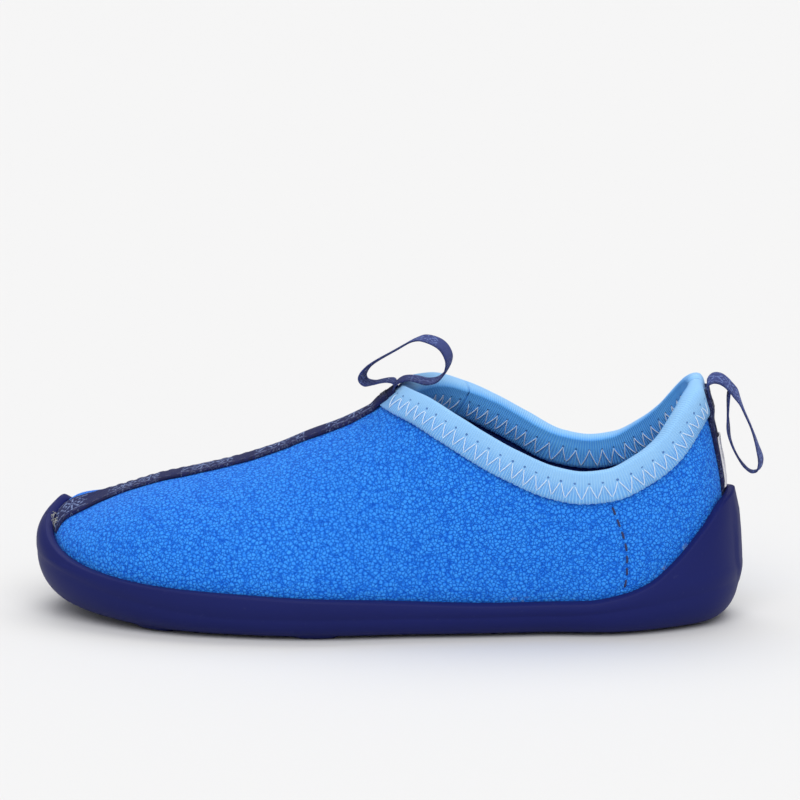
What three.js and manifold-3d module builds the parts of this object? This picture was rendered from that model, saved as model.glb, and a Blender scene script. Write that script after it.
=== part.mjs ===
// A child's slip-on water shoe for the left foot: two neoprene quarters on a moulded rubber cup sole, a knitted
// collar binding, webbing tapes over the two seams and a webbing pull loop at each end of the collar.
// Millimetres, +Z up, toe towards -X, outer (lateral) side towards -Y. The origin is on the ground, half way
// between the tip of the toe and the back of the heel, under the line of the seams.
import * as THREE from "three";
import { mergeVertices } from "three/addons/utils/BufferGeometryUtils.js";
import Module from "manifold-3d";

const wasm = await Module();
wasm.setup();

// ---------------------------------------------------------------- driving dimensions
const SHOE_LENGTH = 160; // toe bumper to heel cup
const BALL_WIDTH = 60; // of the upper, across the ball of the foot
const COLLAR_HEIGHT = 55; // top edge of the quarters at the back of the heel
const TOE_HEIGHT = 23; // of the upper at the tip of the toe
const GAP = 0.3; // clearance between pieces that touch in the real shoe
const BINDING_GAP = 0.5; // between the binding and the quarters
const INSIDE_GAP = 0.9; // clearance of the layers that line the quarters' inner face
const CUP_GAP = 0.45; // between the wall of the sole and the quarters
const SEAM_GAP = 0.15; // from a panel's edge to the plane of the seams

const NEOPRENE = 2.4; // thickness of the quarters
const RUBBER_WALL = 2.1; // side wall of the cup sole
const WALL_BULGE = 0.4; // how far the wall swells half way up
const RUBBER_BASE = 3.2; // ground to the floor inside the cup
const FOAM = 2.0; // filler between the cup's floor and the strobel board
const BOARD = 0.8; // strobel board
const INSOLE_FOAM = 2.5;
const INSOLE_COVER = 0.6;
const COUNTER = 0.8; // heel stiffener
const LINING = 0.8; // heel lining that pockets the stiffener
const BINDING = 0.8; // knitted collar binding
const BINDING_WIDTH = 6.6; // how far the binding reaches down each face of the quarters
const BINDING_FOLD = 1.6; // width of the flat on top of the fold
const TAPE = 0.9; // thickness of the webbing
const TAPE_WIDTH = 9;
const LOOP_WIDTH = 8;
const LOOP_THICKNESS = 0.7;
const THREAD = 0.5; // sewing thread, with the dent it lies in

const TOE_SPRING = 2.2; // how far the sole lifts off the ground at the toe
const SPRING_START = 0.24; // share of the length over which it lifts
const TREAD = 0.5; // height of the round tread pads

// Shares of the length, from the toe, and half widths as shares of the ball width: outer side, inner side.
const HALF_WIDTHS = [
  [0.074, 0.325, 0.315],
  [0.177, 0.462, 0.415],
  [0.306, 0.523, 0.457],
  [0.384, 0.53, 0.46],
  [0.565, 0.462, 0.425],
  [0.726, 0.4, 0.38],
  [0.855, 0.368, 0.36],
  [0.939, 0.265, 0.262],
];
const TOE_RADIUS = 21; // of the outline
const HEEL_RADIUS = 20;
// Height of the instep ridge: 0 is the toe's height and 1 the collar's. Past the front of the collar the ridge is only
// the line that the open side walls lean towards.
const RIDGE = [
  [0, 0.003],
  [0.05, 0.041],
  [0.113, 0.129],
  [0.165, 0.201],
  [0.223, 0.266],
  [0.275, 0.335],
  [0.332, 0.433],
  [0.393, 0.56],
  [0.435, 0.636],
  [0.478, 0.754],
  [0.52, 0.917],
  [0.565, 1.103],
  [0.61, 1.292],
  [0.66, 1.516],
  [0.745, 1.722],
  [0.9, 1.962],
];
// Height of the quarters' top edge behind the front of the collar, in the same shares: outer side, inner side.
const COLLAR_FRONT = 0.52;
const TOPLINES = [
  [COLLAR_FRONT, 0.917, 0.917],
  [0.558, 0.893, 0.914],
  [0.607, 0.794, 0.828],
  [0.649, 0.687, 0.722],
  [0.694, 0.574, 0.594],
  [0.75, 0.457, 0.457],
  [0.79, 0.424, 0.424],
  [0.825, 0.44, 0.45],
  [0.87, 0.536, 0.579],
  [0.9, 0.639, 0.708],
  [0.93, 0.828, 0.88],
  [0.95, 0.94, 0.966],
  [0.97, 0.991, 1],
  [1, 1, 1],
];
// Height of the rubber rim, going round from the heel by the outer side (-1) to the toe (0) and back by the
// inner side to the heel (1).
const RIM = [
  [-1, 30],
  [-0.93, 28.3],
  [-0.87, 22.8],
  [-0.8165, 16.2],
  [-0.78, 12],
  [-0.745, 9.8],
  [-0.7, 8.4],
  [-0.62, 8.2],
  [-0.48, 9.4],
  [-0.3275, 10.8],
  [-0.245, 11.4],
  [-0.19, 12.1],
  [-0.14, 13.2],
  [-0.092, 14.9],
  [-0.04, 17.3],
  [0, 18.8],
  [0.04, 19.1],
  [0.09, 19.3],
  [0.13, 18.6],
  [0.18, 16.6],
  [0.25, 14],
  [0.34, 12],
  [0.48, 10.5],
  [0.62, 9.5],
  [0.7, 9.5],
  [0.745, 10.3],
  [0.78, 12],
  [0.8165, 16.2],
  [0.87, 22.8],
  [0.93, 28.3],
  [1, 30],
];
const WIDEST = [
  [0, 13],
  [0.3, 11.5],
  [0.75, 12],
  [1, 14],
]; // height at which the upper is widest
const CROWN = [
  [0, 2.3],
  [0.2, 2.0],
  [0.4, 1.6],
  [0.52, 1.7],
  [0.7, 1.9],
  [1, 1.75],
]; // exponents of a cross-section: 2 is an ellipse, less is more peaked
const TOE_ROLL = 0.18; // how much the toe box rises towards the big toe
const TUCK = 1.0; // how far the upper draws in at its lower edge

// ---------------------------------------------------------------- curves
const OUTLINE_START = -SHOE_LENGTH / 2 + RUBBER_WALL + CUP_GAP + WALL_BULGE / 2;
const OUTLINE_LENGTH = -2 * OUTLINE_START;
const OUTER = -1;
const INNER = 1;
const FLOOR = RUBBER_BASE;
const BOARD_Z = FLOOR + GAP + FOAM + GAP;
const INSOLE_Z = BOARD_Z + BOARD + GAP;
const COVER_Z = INSOLE_Z + INSOLE_FOAM + GAP;
const FOOTBED_Z = COVER_Z + INSOLE_COVER;
const FEATHER_Z = BOARD_Z; // lower edge of the quarters

const clamp = (x, low, high) => Math.min(high, Math.max(low, x));
const mix = (a, b, t) => a + (b - a) * t;
const steps = (count) => Array.from({ length: count + 1 }, (_, i) => i / count);

// A smooth curve through pairs of numbers, held level past its ends.
function through(pairs) {
  const last = pairs.length - 1;
  const slope = pairs.map((p, i) => {
    if (i === 0 || i === last) return 0;
    const before = (p[1] - pairs[i - 1][1]) / (p[0] - pairs[i - 1][0]);
    const after = (pairs[i + 1][1] - p[1]) / (pairs[i + 1][0] - p[0]);
    return before * after <= 0 ? 0 : (2 * before * after) / (before + after);
  });
  slope[0] = (pairs[1][1] - pairs[0][1]) / (pairs[1][0] - pairs[0][0]);
  slope[last] = (pairs[last][1] - pairs[last - 1][1]) / (pairs[last][0] - pairs[last - 1][0]);
  return (x) => {
    const at = clamp(x, pairs[0][0], pairs[last][0]);
    const i = clamp(pairs.findIndex((p) => p[0] >= at) - 1, 0, last - 1);
    const h = pairs[i + 1][0] - pairs[i][0];
    const t = (at - pairs[i][0]) / h;
    return (
      pairs[i][1] * (1 + 2 * t) * (1 - t) ** 2 +
      pairs[i + 1][1] * t * t * (3 - 2 * t) +
      h * slope[i] * t * (1 - t) ** 2 -
      h * slope[i + 1] * t * t * (1 - t)
    );
  };
}

// How full the outline is: its half width over that of an ellipse, 1 mm wide at the middle.
const endFullness = (radius) => Math.sqrt((radius * OUTLINE_LENGTH) / 2);
const fullness = Object.fromEntries(
  [OUTER, INNER].map((side) => [
    side,
    through([
      [0, endFullness(TOE_RADIUS)],
      ...HALF_WIDTHS.map(([s, outer, inner]) => [
        s,
        ((side === OUTER ? outer : inner) * BALL_WIDTH) / (2 * Math.sqrt(s * (1 - s))),
      ]),
      [1, endFullness(HEEL_RADIUS)],
    ]),
  ]),
);
const share = (x) => (x - OUTLINE_START) / OUTLINE_LENGTH;
const ridgeShare = through(RIDGE);
const heightOf = (part) => mix(TOE_HEIGHT, COLLAR_HEIGHT, part);
const ridge = (x) => heightOf(ridgeShare(share(x)));
const toplineShare = {
  [OUTER]: through(TOPLINES.map(([s, outer]) => [s, outer])),
  [INNER]: through(TOPLINES.map(([s, , inner]) => [s, inner])),
};
const topline = (x, side) => heightOf(toplineShare[side](share(x)));
const rim = through(RIM);
const widest = through(WIDEST);
const crown = through(CROWN);

// How far the ground side of everything lifts at x.
function lift(x) {
  const reach = SPRING_START * SHOE_LENGTH;
  return TOE_SPRING * clamp((-SHOE_LENGTH / 2 + reach - x) / reach, 0, 1) ** 2;
}

// The ridge point that the rib from an outline point climbs to: the ribs fan out at the toe and the heel.
const TOE_FAN = 7;
const TOE_FAN_REACH = 11;
const HEEL_FAN = 32;
const HEEL_FAN_REACH = 34;
function spine(x) {
  return (
    x +
    TOE_FAN * Math.exp(-(x - OUTLINE_START) / TOE_FAN_REACH) -
    HEEL_FAN * Math.exp(-(-OUTLINE_START - x) / HEEL_FAN_REACH)
  );
}

// ---------------------------------------------------------------- the upper's outer face
// u runs from the toe (0) to the back of the heel (1) on either side. v runs up a rib, from the lower edge (-1)
// past the widest line (0) to the ridge (1).
function outline(u, side) {
  const angle = Math.PI * u;
  const s = (1 - Math.cos(angle)) / 2;
  return [OUTLINE_START + s * OUTLINE_LENGTH, side * Math.sin(angle) * fullness[side](s)];
}

function outlineNormal(u, side) {
  const step = 1e-3;
  const [x0, y0] = outline(Math.max(0, u - step), side);
  const [x1, y1] = outline(Math.min(1, u + step), side);
  if (u <= 0) return [-1, 0];
  if (u >= 1) return [1, 0];
  const length = Math.hypot(x1 - x0, y1 - y0);
  return [((y1 - y0) / length) * -side, ((x1 - x0) / length) * side];
}

function skin(u, v, side) {
  const [bx, by] = outline(u, side);
  const s = share(bx);
  const foot = widest(s) + lift(bx);
  if (v < 0) {
    const [nx, ny] = outlineNormal(u, side);
    const inset = TUCK * v * v;
    const low = FEATHER_Z + lift(bx);
    return new THREE.Vector3(bx - nx * inset, by - ny * inset, foot + v * (foot - low));
  }
  const tx = spine(bx);
  const step = 0.5;
  const slope = (ridge(tx + step) - ridge(tx - step)) / (2 * step);
  const power = 2 / crown(s);
  const along = 1 - Math.cos((v * Math.PI) / 2) ** power;
  const up = Math.sin((v * Math.PI) / 2) ** power;
  const ceiling = ridge(tx) - slope * (tx - bx) * (1 - along);
  const y = by * (1 - along);
  const roll = TOE_ROLL * clamp(1.25 - s / 0.35, 0, 1) * y * up;
  return new THREE.Vector3(mix(bx, tx, along), y, foot + (ceiling - foot) * up + roll);
}

function skinNormal(u, v, side) {
  const step = 1e-3;
  const vv = clamp(v, -1, 0.99);
  const uu = clamp(u, step, 1 - step);
  const du = skin(uu + step, vv, side).sub(skin(uu - step, vv, side));
  const dv = skin(uu, vv + step, side).sub(skin(uu, vv - step, side));
  const n = du.cross(dv).multiplyScalar(-side);
  if (u <= 0 || u >= 1 || v >= 1) n.y = 0;
  return n.normalize();
}

// A point off the upper's outer face: outwards if off is positive.
const onSkin = (u, v, side, off = 0) =>
  skin(u, v, side).addScaledVector(skinNormal(u, v, side), off);

// Where on its rib the upper reaches a height, which may be a function of x.
function vAt(u, side, height) {
  const target = typeof height === "function" ? height : () => height;
  let low = -1;
  let high = 1;
  for (let i = 0; i < 40; i++) {
    const middle = (low + high) / 2;
    const p = skin(u, middle, side);
    if (p.z < target(p.x)) low = middle;
    else high = middle;
  }
  return (low + high) / 2;
}
const vRim = (u, side) => vAt(u, side, rim(side * u) + lift(outline(u, side)[0]));

// ---------------------------------------------------------------- closed solids from sections
// Joins sections, each a closed ring with as many points. The last one joins the first, or both ends are closed.
function loft(rings, endless = false) {
  const count = rings[0].length;
  const position = rings.flat().flatMap((p) => [p.x, p.y, p.z]);
  const faces = [];
  for (let i = 0; i < (endless ? rings.length : rings.length - 1); i++)
    for (let j = 0; j < count; j++) {
      const next = ((i + 1) % rings.length) * count;
      const [a, b] = [j, (j + 1) % count];
      faces.push(i * count + a, i * count + b, next + b, i * count + a, next + b, next + a);
    }
  const ends = [
    [0, true],
    [(rings.length - 1) * count, false],
  ];
  for (const [base, turned] of endless ? [] : ends)
    for (let low = 0, high = count - 1; low < high - 1; low++, high--) {
      const pair = [[low, low + 1, high]];
      if (low + 1 < high - 1) pair.push([low + 1, high - 1, high]);
      for (const t of pair) faces.push(...(turned ? t.toReversed() : t).map((k) => base + k));
    }
  const g = new THREE.BufferGeometry();
  g.setAttribute("position", new THREE.Float32BufferAttribute(position, 3));
  g.setIndex(faces);
  return facingOut(g);
}

// Six times the volume inside a mesh: negative if its faces point inwards.
function signedVolume(g) {
  const p = g.attributes.position;
  const at = (k) => new THREE.Vector3().fromBufferAttribute(p, g.index.getX(k));
  let sum = 0;
  for (let i = 0; i < g.index.count; i += 3) sum += at(i).dot(at(i + 1).cross(at(i + 2)));
  return sum;
}

function facingOut(g) {
  if (signedVolume(g) < 0) g.setIndex([...g.index.array].toReversed());
  return g;
}

function toSolid(geometry) {
  const g = geometry.clone();
  g.deleteAttribute("normal");
  g.deleteAttribute("uv");
  const merged = mergeVertices(g, 1e-3);
  return new wasm.Manifold(
    new wasm.Mesh({
      numProp: 3,
      vertProperties: new Float32Array(merged.attributes.position.array),
      triVerts: new Uint32Array(merged.index.array),
    }),
  );
}

function toGeometry(solid) {
  const mesh = solid.getMesh();
  const g = new THREE.BufferGeometry();
  g.setAttribute("position", new THREE.BufferAttribute(mesh.vertProperties, 3));
  g.setIndex(new THREE.BufferAttribute(mesh.triVerts, 1));
  return g;
}

// The section of a sheet between two faces: out along one and back along the other.
const sheetSection = (outside, inside) => [...outside, ...inside.toReversed()];

// The stations round the upper. They crowd together just behind the front of the collar, where its edge turns.
const uAtShare = (s) => Math.acos(1 - 2 * s) / Math.PI;
function uOfRidge(s) {
  let low = 0;
  let high = 1;
  for (let i = 0; i < 40; i++) {
    const middle = (low + high) / 2;
    if (share(spine(outline(middle, OUTER)[0])) < s) low = middle;
    else high = middle;
  }
  return (low + high) / 2;
}
const U_COLLAR = uOfRidge(COLLAR_FRONT);
const FRONT_STATIONS = 14;
const COLLAR_STATIONS = 20;
const CROWDING = 1.5;
const stations = [
  ...steps(FRONT_STATIONS).slice(0, -1).map((t) => U_COLLAR * t),
  ...steps(COLLAR_STATIONS).map((t) => mix(U_COLLAR, 1, t ** CROWDING)),
];

// A ring round the shoe, from the toe by the outer side to the heel and back by the inner side.
function ringAround(pointAt) {
  const outer = stations.map((u) => pointAt(u, OUTER));
  const inner = stations.slice(1, -1).map((u) => pointAt(u, INNER));
  return [...outer, ...inner.toReversed()];
}

// A flat layer inside the shoe, its edge a distance in from the upper's outer face at its lower edge.
function layer(inset, bottom, thickness) {
  const edge = (z) =>
    ringAround((u, side) => {
      const p = skin(u, -1, side);
      const [nx, ny] = outlineNormal(u, side);
      return new THREE.Vector3(p.x - nx * inset, p.y - ny * inset, z + lift(p.x));
    });
  return loft([edge(bottom), edge(bottom + thickness)]);
}

const group = new THREE.Group();
const shades = {
  rubber: { color: 0x23265c, roughness: 0.55 },
  neoprene: { color: 0x2d7deb, roughness: 0.85 },
  binding: { color: 0x94c9fc, roughness: 0.8 },
  webbing: { color: 0x26305e, roughness: 0.75 },
  thread: { color: 0xdfeaf8, roughness: 0.7 },
  navy_thread: { color: 0x1c2558, roughness: 0.7 },
  label: { color: 0xf2f2f4, roughness: 0.6 },
  lining: { color: 0x1d3f8f, roughness: 0.9 },
  foam: { color: 0x2b3a66, roughness: 0.95 },
  board: { color: 0xd9d4c6, roughness: 0.95 },
  stiffener: { color: 0xe8e6df, roughness: 0.6 },
};
function add(name, geometry, shade) {
  const mesh = new THREE.Mesh(
    geometry,
    new THREE.MeshStandardMaterial({ ...shades[shade], metalness: 0 }),
  );
  mesh.name = name;
  group.add(mesh);
}

// ---------------------------------------------------------------- cup sole
// Height at which the side wall starts to turn under, and how far it turns in.
const turnHeight = through([
  [0, 12],
  [0.12, 8.5],
  [0.3, 6],
  [0.75, 6],
  [0.9, 8],
  [1, 10],
]);
const turnDepth = through([
  [0, 9.5],
  [0.15, 7],
  [0.35, 5],
  [0.8, 5],
  [1, 6.5],
]);
const LIP = 0.7; // height of the rounded lip over the rim

function soleRing(level) {
  return ringAround((u, side) => level(u, side, outline(u, side)[0]));
}
const cupWall = (part, off, rise = 0) =>
  soleRing((u, side) => {
    const top = vRim(u, side);
    return onSkin(u, mix(-1, top, part), side, off).add(new THREE.Vector3(0, 0, rise));
  });
const outerWall = (fromRim, off) =>
  soleRing((u, side, x) => {
    const top = vRim(u, side);
    const turn = vAt(u, side, turnHeight(share(x)) + lift(x));
    return onSkin(u, mix(top, Math.min(turn, top), fromRim), side, off);
  });
function turnUnder(angle) {
  return soleRing((u, side, x) => {
    const top = vRim(u, side);
    const height = turnHeight(share(x)) + lift(x);
    const v = Math.min(vAt(u, side, height), top);
    const start = onSkin(u, v, side, CUP_GAP + RUBBER_WALL + WALL_BULGE / 2);
    const [nx, ny] = outlineNormal(u, side);
    const inwards = turnDepth(share(x)) * (1 - Math.cos(angle));
    const drop = (start.z - TREAD - lift(x)) * Math.sin(angle);
    return new THREE.Vector3(start.x - nx * inwards, start.y - ny * inwards, start.z - drop);
  });
}
const cup = loft([
  soleRing((u, side, x) => {
    const p = onSkin(u, -1, side, CUP_GAP);
    return new THREE.Vector3(p.x, p.y, FLOOR + lift(x));
  }),
  cupWall(0, CUP_GAP),
  cupWall(0.3, CUP_GAP),
  cupWall(0.5, CUP_GAP),
  cupWall(0.65, CUP_GAP),
  cupWall(0.8, CUP_GAP),
  cupWall(0.9, CUP_GAP),
  cupWall(1, CUP_GAP),
  cupWall(1, CUP_GAP + RUBBER_WALL / 2, LIP / 2),
  cupWall(1, CUP_GAP + RUBBER_WALL * 0.9, -LIP / 2),
  outerWall(0.3, CUP_GAP + RUBBER_WALL + WALL_BULGE / 2),
  outerWall(0.65, CUP_GAP + RUBBER_WALL + WALL_BULGE),
  outerWall(1, CUP_GAP + RUBBER_WALL + WALL_BULGE / 2),
  turnUnder(Math.PI / 8),
  turnUnder(Math.PI / 4),
  turnUnder((3 * Math.PI) / 8),
  turnUnder(Math.PI / 2),
]);

// Round tread pads: the ones at the edge stand out of the turned wall as an arc.
const PAD_RADIUS = 5;
const PAD_TOP = 3;
const PADS = [
  [0.5, 0],
  [0.1, 0.05],
  [0.175, -0.75],
  [0.19, -0.1],
  [0.2, 0.62],
  [0.29, -0.42],
  [0.31, 0.28],
  [0.33, 0.86],
  [0.405, -0.84],
  [0.42, -0.1],
  [0.43, 0.55],
  [0.7, -0.35],
  [0.72, 0.45],
  [0.8, 0.05],
  [0.87, -0.45],
  [0.88, 0.5],
];
// Places a pad by its share of the length and of the half width there.
function pad([s, across]) {
  const u = Math.acos(1 - 2 * s) / Math.PI;
  const side = across < 0 ? OUTER : INNER;
  const [x, y] = outline(u, side);
  const low = lift(x);
  const g = new THREE.CylinderGeometry(PAD_RADIUS, PAD_RADIUS, PAD_TOP, 14);
  g.rotateX(Math.PI / 2);
  g.translate(x, Math.abs(across) * y, low + PAD_TOP / 2);
  return toSolid(g);
}
let sole = toSolid(cup);
for (const place of PADS) sole = sole.add(pad(place));
add("outsole", toGeometry(sole), "rubber");

// ---------------------------------------------------------------- layers under the foot
add("midsole_foam", layer(0, FLOOR + GAP, FOAM), "foam");
add("strobel_board", layer(NEOPRENE + GAP, BOARD_Z, BOARD), "board");
add("insole_foam", layer(NEOPRENE + GAP, INSOLE_Z, INSOLE_FOAM), "foam");
add("insole_cover", layer(NEOPRENE + GAP, COVER_Z, INSOLE_COVER), "lining");

// ---------------------------------------------------------------- quarters
const vTop = (u, side) => (u <= U_COLLAR ? 1 : vAt(u, side, (x) => Math.min(topline(x, side), ridge(x))));
const QUARTER_ROWS = 10;
const ROW_CROWDING = 0.75; // the rows stand closer towards the ridge, where the panel bends most

// Keeps a point on its own side of the plane of the seams.
function offSeam(p, side) {
  if (p.y * side < SEAM_GAP) p.y = SEAM_GAP * side;
  return p;
}

function quarter(side) {
  return loft(
    stations.map((u) => {
      const top = vTop(u, side);
      const vs = steps(QUARTER_ROWS).map((t) => mix(-1, top, t ** ROW_CROWDING));
      return sheetSection(
        vs.map((v) => offSeam(onSkin(u, v, side), side)),
        vs.map((v) => offSeam(onSkin(u, v, side, -NEOPRENE), side)),
      );
    }),
  );
}
add("quarter_outer", quarter(OUTER), "neoprene");
add("quarter_inner", quarter(INNER), "neoprene");

// ---------------------------------------------------------------- collar edge, and measuring from it
// Points of the edge with their place on the upper, from the front of the collar by one side to the heel.
const EDGE_STEPS = 60;
function edgeOf(side) {
  return steps(EDGE_STEPS).map((t) => {
    const u = mix(U_COLLAR, 1, t ** 2);
    const v = vTop(u, side);
    return { u, v, side, p: skin(u, v, side) };
  });
}
// The whole edge, from the heel by the inner side to the front and back by the outer side.
const edge = [...edgeOf(INNER).toReversed(), ...edgeOf(OUTER).slice(1)];
edge.forEach((e, i) => {
  e.at = i === 0 ? 0 : edge[i - 1].at + e.p.distanceTo(edge[i - 1].p);
});
const EDGE_LENGTH = edge.at(-1).at;

function edgeAt(distance) {
  const d = ((distance % EDGE_LENGTH) + EDGE_LENGTH) % EDGE_LENGTH;
  const i = clamp(edge.findIndex((e) => e.at >= d), 1, edge.length - 1);
  const [a, b] = [edge[i - 1], edge[i]];
  const t = (d - a.at) / (b.at - a.at);
  const side = (t < 0.5 ? a : b).side;
  const u = mix(a.u, b.u, t);
  const v = mix(a.v, b.v, t);
  const tangent = b.p.clone().sub(a.p).normalize();
  return { u, v, side, p: a.p.clone().lerp(b.p, t), tangent };
}

// The place on the upper nearest to a point, found by narrowing a window round a first guess.
function nearest(point, guess) {
  let best = { u: guess.u, v: guess.v, d: Infinity };
  let [spanU, spanV] = [0.12, 0.35];
  for (let pass = 0; pass < 9; pass++) {
    const centre = { ...best };
    for (let i = -4; i <= 4; i++)
      for (let j = -4; j <= 4; j++) {
        const u = clamp(centre.u + (spanU * i) / 4, 0, 1);
        const v = clamp(centre.v + (spanV * j) / 4, -1, 1);
        const d = skin(u, v, guess.side).distanceToSquared(point);
        if (d < best.d) best = { u, v, d };
      }
    spanU *= 0.45;
    spanV *= 0.45;
  }
  return best;
}

// The place on the upper a distance from the collar edge, square to the edge.
function below(e, distance) {
  if (distance === 0) return { u: e.u, v: e.v };
  const n = skinNormal(e.u, e.v, e.side);
  const down = n.clone().cross(e.tangent).normalize();
  if (down.z > 0) down.negate();
  const centred = Math.abs(e.p.y) < 1e-6;
  if (centred) {
    n.y = 0;
    down.y = 0;
  }
  return nearest(e.p.clone().addScaledVector(down, distance), e);
}

// ---------------------------------------------------------------- collar binding
// A strip folded over the edge. Its ends butt on the inner side, near the front.
const JOIN_FROM_FRONT = 22; // distance of the join from the front of the collar, along the edge
const frontAt = edge[EDGE_STEPS].at;
const joinAt = frontAt - JOIN_FROM_FRONT;
const LEG = [0, 0.25, 0.6, 1]; // places down each leg, as shares of its width

function bindingSection(e) {
  const outside = [];
  const inside = [];
  const places = LEG.map((k) => below(e, k * BINDING_WIDTH)).toReversed();
  const n = skinNormal(e.u, e.v, e.side);
  const down = n.clone().cross(e.tangent).normalize();
  if (down.z > 0) down.negate();
  for (const { u, v } of places) {
    outside.push(onSkin(u, v, e.side, BINDING_GAP + BINDING));
    inside.push(onSkin(u, v, e.side, BINDING_GAP));
  }
  const over = (off, rise) => e.p.clone().addScaledVector(n, off).addScaledVector(down, -rise);
  const middle = -NEOPRENE / 2;
  const fold = BINDING_FOLD / 2;
  outside.push(over(middle + fold, GAP + BINDING), over(middle - fold, GAP + BINDING));
  inside.push(over(middle + fold, GAP), over(middle - fold, GAP));
  for (const { u, v } of places.toReversed()) {
    outside.push(onSkin(u, v, e.side, -NEOPRENE - INSIDE_GAP - BINDING));
    inside.push(onSkin(u, v, e.side, -NEOPRENE - INSIDE_GAP));
  }
  return sheetSection(outside, inside);
}
// Its sections stand at the quarters' stations, so that the two bend alike.
function distanceOf(u, side) {
  const half = side === OUTER ? edge.slice(EDGE_STEPS) : edge.slice(0, EDGE_STEPS + 1).toReversed();
  const i = clamp(half.findIndex((e) => e.u >= u), 1, EDGE_STEPS);
  const [a, b] = [half[i - 1], half[i]];
  return mix(a.at, b.at, (u - a.u) / (b.u - a.u));
}
const collarStations = stations.slice(FRONT_STATIONS);
const NEAR_FRONT = 8; // stations behind the front that have another section half way to the next
const extraStations = collarStations
  .slice(0, NEAR_FRONT)
  .map((u, i) => mix(u, collarStations[i + 1], 0.5));
const bindingStations = [...collarStations, ...extraStations].sort((p, q) => p - q);
const aroundCollar = [
  ...bindingStations.map((u) => distanceOf(u, INNER)),
  ...bindingStations.slice(1).map((u) => distanceOf(u, OUTER)),
].map((distance) => (distance < joinAt ? distance + EDGE_LENGTH : distance));
const bindingStart = joinAt + GAP / 2;
const bindingEnd = joinAt + EDGE_LENGTH - GAP / 2;
const bindingPlaces = [
  bindingStart,
  ...aroundCollar.filter((at) => at > bindingStart + 0.5 && at < bindingEnd - 0.5).sort((p, q) => p - q),
  bindingEnd,
];
const bindingRings = bindingPlaces.map((distance) => bindingSection(edgeAt(distance)));
add("collar_binding", loft(bindingRings), "binding");

// ---------------------------------------------------------------- zigzag seam of the binding
const ZIGZAG_PITCH = 2.8;
const ZIGZAG_WIDTH = 3.6;
const ZIGZAG_MARGIN = 0.8; // from the binding's lower edge
const MITRE = 0.5; // half the height of the thread's pointed corners

// The thread's corners between two places along the collar edge.
function zigzag(from, to, outerOff, innerOff) {
  const corners = 2 * Math.round((to - from) / ZIGZAG_PITCH);
  return loft(
    steps(corners).map((t, i) => {
      const e = edgeAt(mix(from, to, t));
      const low = BINDING_WIDTH - ZIGZAG_MARGIN;
      const centre = i % 2 === 0 ? low : low - ZIGZAG_WIDTH;
      const upper = below(e, centre - MITRE);
      const lower = below(e, centre + MITRE);
      return [
        onSkin(upper.u, upper.v, e.side, outerOff),
        onSkin(lower.u, lower.v, e.side, outerOff),
        onSkin(lower.u, lower.v, e.side, innerOff),
        onSkin(upper.u, upper.v, e.side, innerOff),
      ];
    }),
  );
}
// Outside, the tapes cover the seam at the front and at the heel.
const onBinding = BINDING_GAP + BINDING + GAP;
const insideBinding = -NEOPRENE - INSIDE_GAP - BINDING - 1.5 * GAP;
const UNDER_FRONT_TAPE = 10.5; // from the front of the collar
const UNDER_HEEL_TAPE = 6.5; // from the middle of the heel
add(
  "zigzag_stitch_outer",
  zigzag(frontAt + UNDER_FRONT_TAPE, EDGE_LENGTH - UNDER_HEEL_TAPE, onBinding + THREAD, onBinding),
  "thread",
);
add(
  "zigzag_stitch_inner",
  zigzag(UNDER_HEEL_TAPE, frontAt - UNDER_FRONT_TAPE, onBinding + THREAD, onBinding),
  "thread",
);
add(
  "zigzag_stitch_inside",
  zigzag(
    joinAt + ZIGZAG_PITCH,
    joinAt + EDGE_LENGTH - ZIGZAG_PITCH,
    insideBinding,
    insideBinding - THREAD,
  ),
  "thread",
);

// ---------------------------------------------------------------- webbing tapes over the two seams
// A seam line is a list of places on the plane of the seams, with the distance run so far.
function seamLine(places) {
  const line = places.map(([u, v]) => ({ u, v, p: skin(u, v, OUTER).setY(0) }));
  line.forEach((q, i) => {
    q.at = i === 0 ? 0 : line[i - 1].at + q.p.distanceTo(line[i - 1].p);
  });
  return line;
}
function seamAt(line, distance) {
  const i = clamp(line.findIndex((q) => q.at >= distance), 1, line.length - 1);
  const [a, b] = [line[i - 1], line[i]];
  const t = (distance - a.at) / (b.at - a.at);
  return { u: mix(a.u, b.u, t), v: mix(a.v, b.v, t), p: a.p.clone().lerp(b.p, t) };
}
const TOE_RIM_V = vRim(0, OUTER);
const HEEL_RIM_V = vRim(1, OUTER);
const insteps = seamLine([
  ...steps(60).map((t) => [0, mix(TOE_RIM_V, 1, t)]),
  ...steps(200).slice(1).map((t) => [U_COLLAR * t, 1]),
]);
const INSTEP_LENGTH = insteps.at(-1).at;
const heelSeam = seamLine(steps(120).map((t) => [1, mix(vTop(1, OUTER), HEEL_RIM_V, t)]));
const HEEL_LENGTH = heelSeam.at(-1).at;

// A point beside a seam line: across it, and off the upper.
function beside(line, distance, across, off) {
  const centre = seamAt(line, distance);
  if (across === 0) return onSkin(centre.u, centre.v, OUTER, off).setY(0);
  const side = across < 0 ? OUTER : INNER;
  const place = nearest(centre.p.clone().setY(across), { ...centre, side });
  return onSkin(place.u, place.v, side, off);
}

// A strip that follows a seam line. Its lower face is off the upper by liftAt, a function of the distance.
function strip(line, from, to, count, left, right, liftAt, thickness, columns = 4) {
  const across = steps(columns).map((t) => mix(left, right, t));
  return loft(
    steps(count).map((t) => {
      const distance = mix(from, to, t);
      const off = liftAt(distance);
      return sheetSection(
        across.map((y) => beside(line, distance, y, off + thickness)),
        across.map((y) => beside(line, distance, y, off)),
      );
    }),
  );
}

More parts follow.
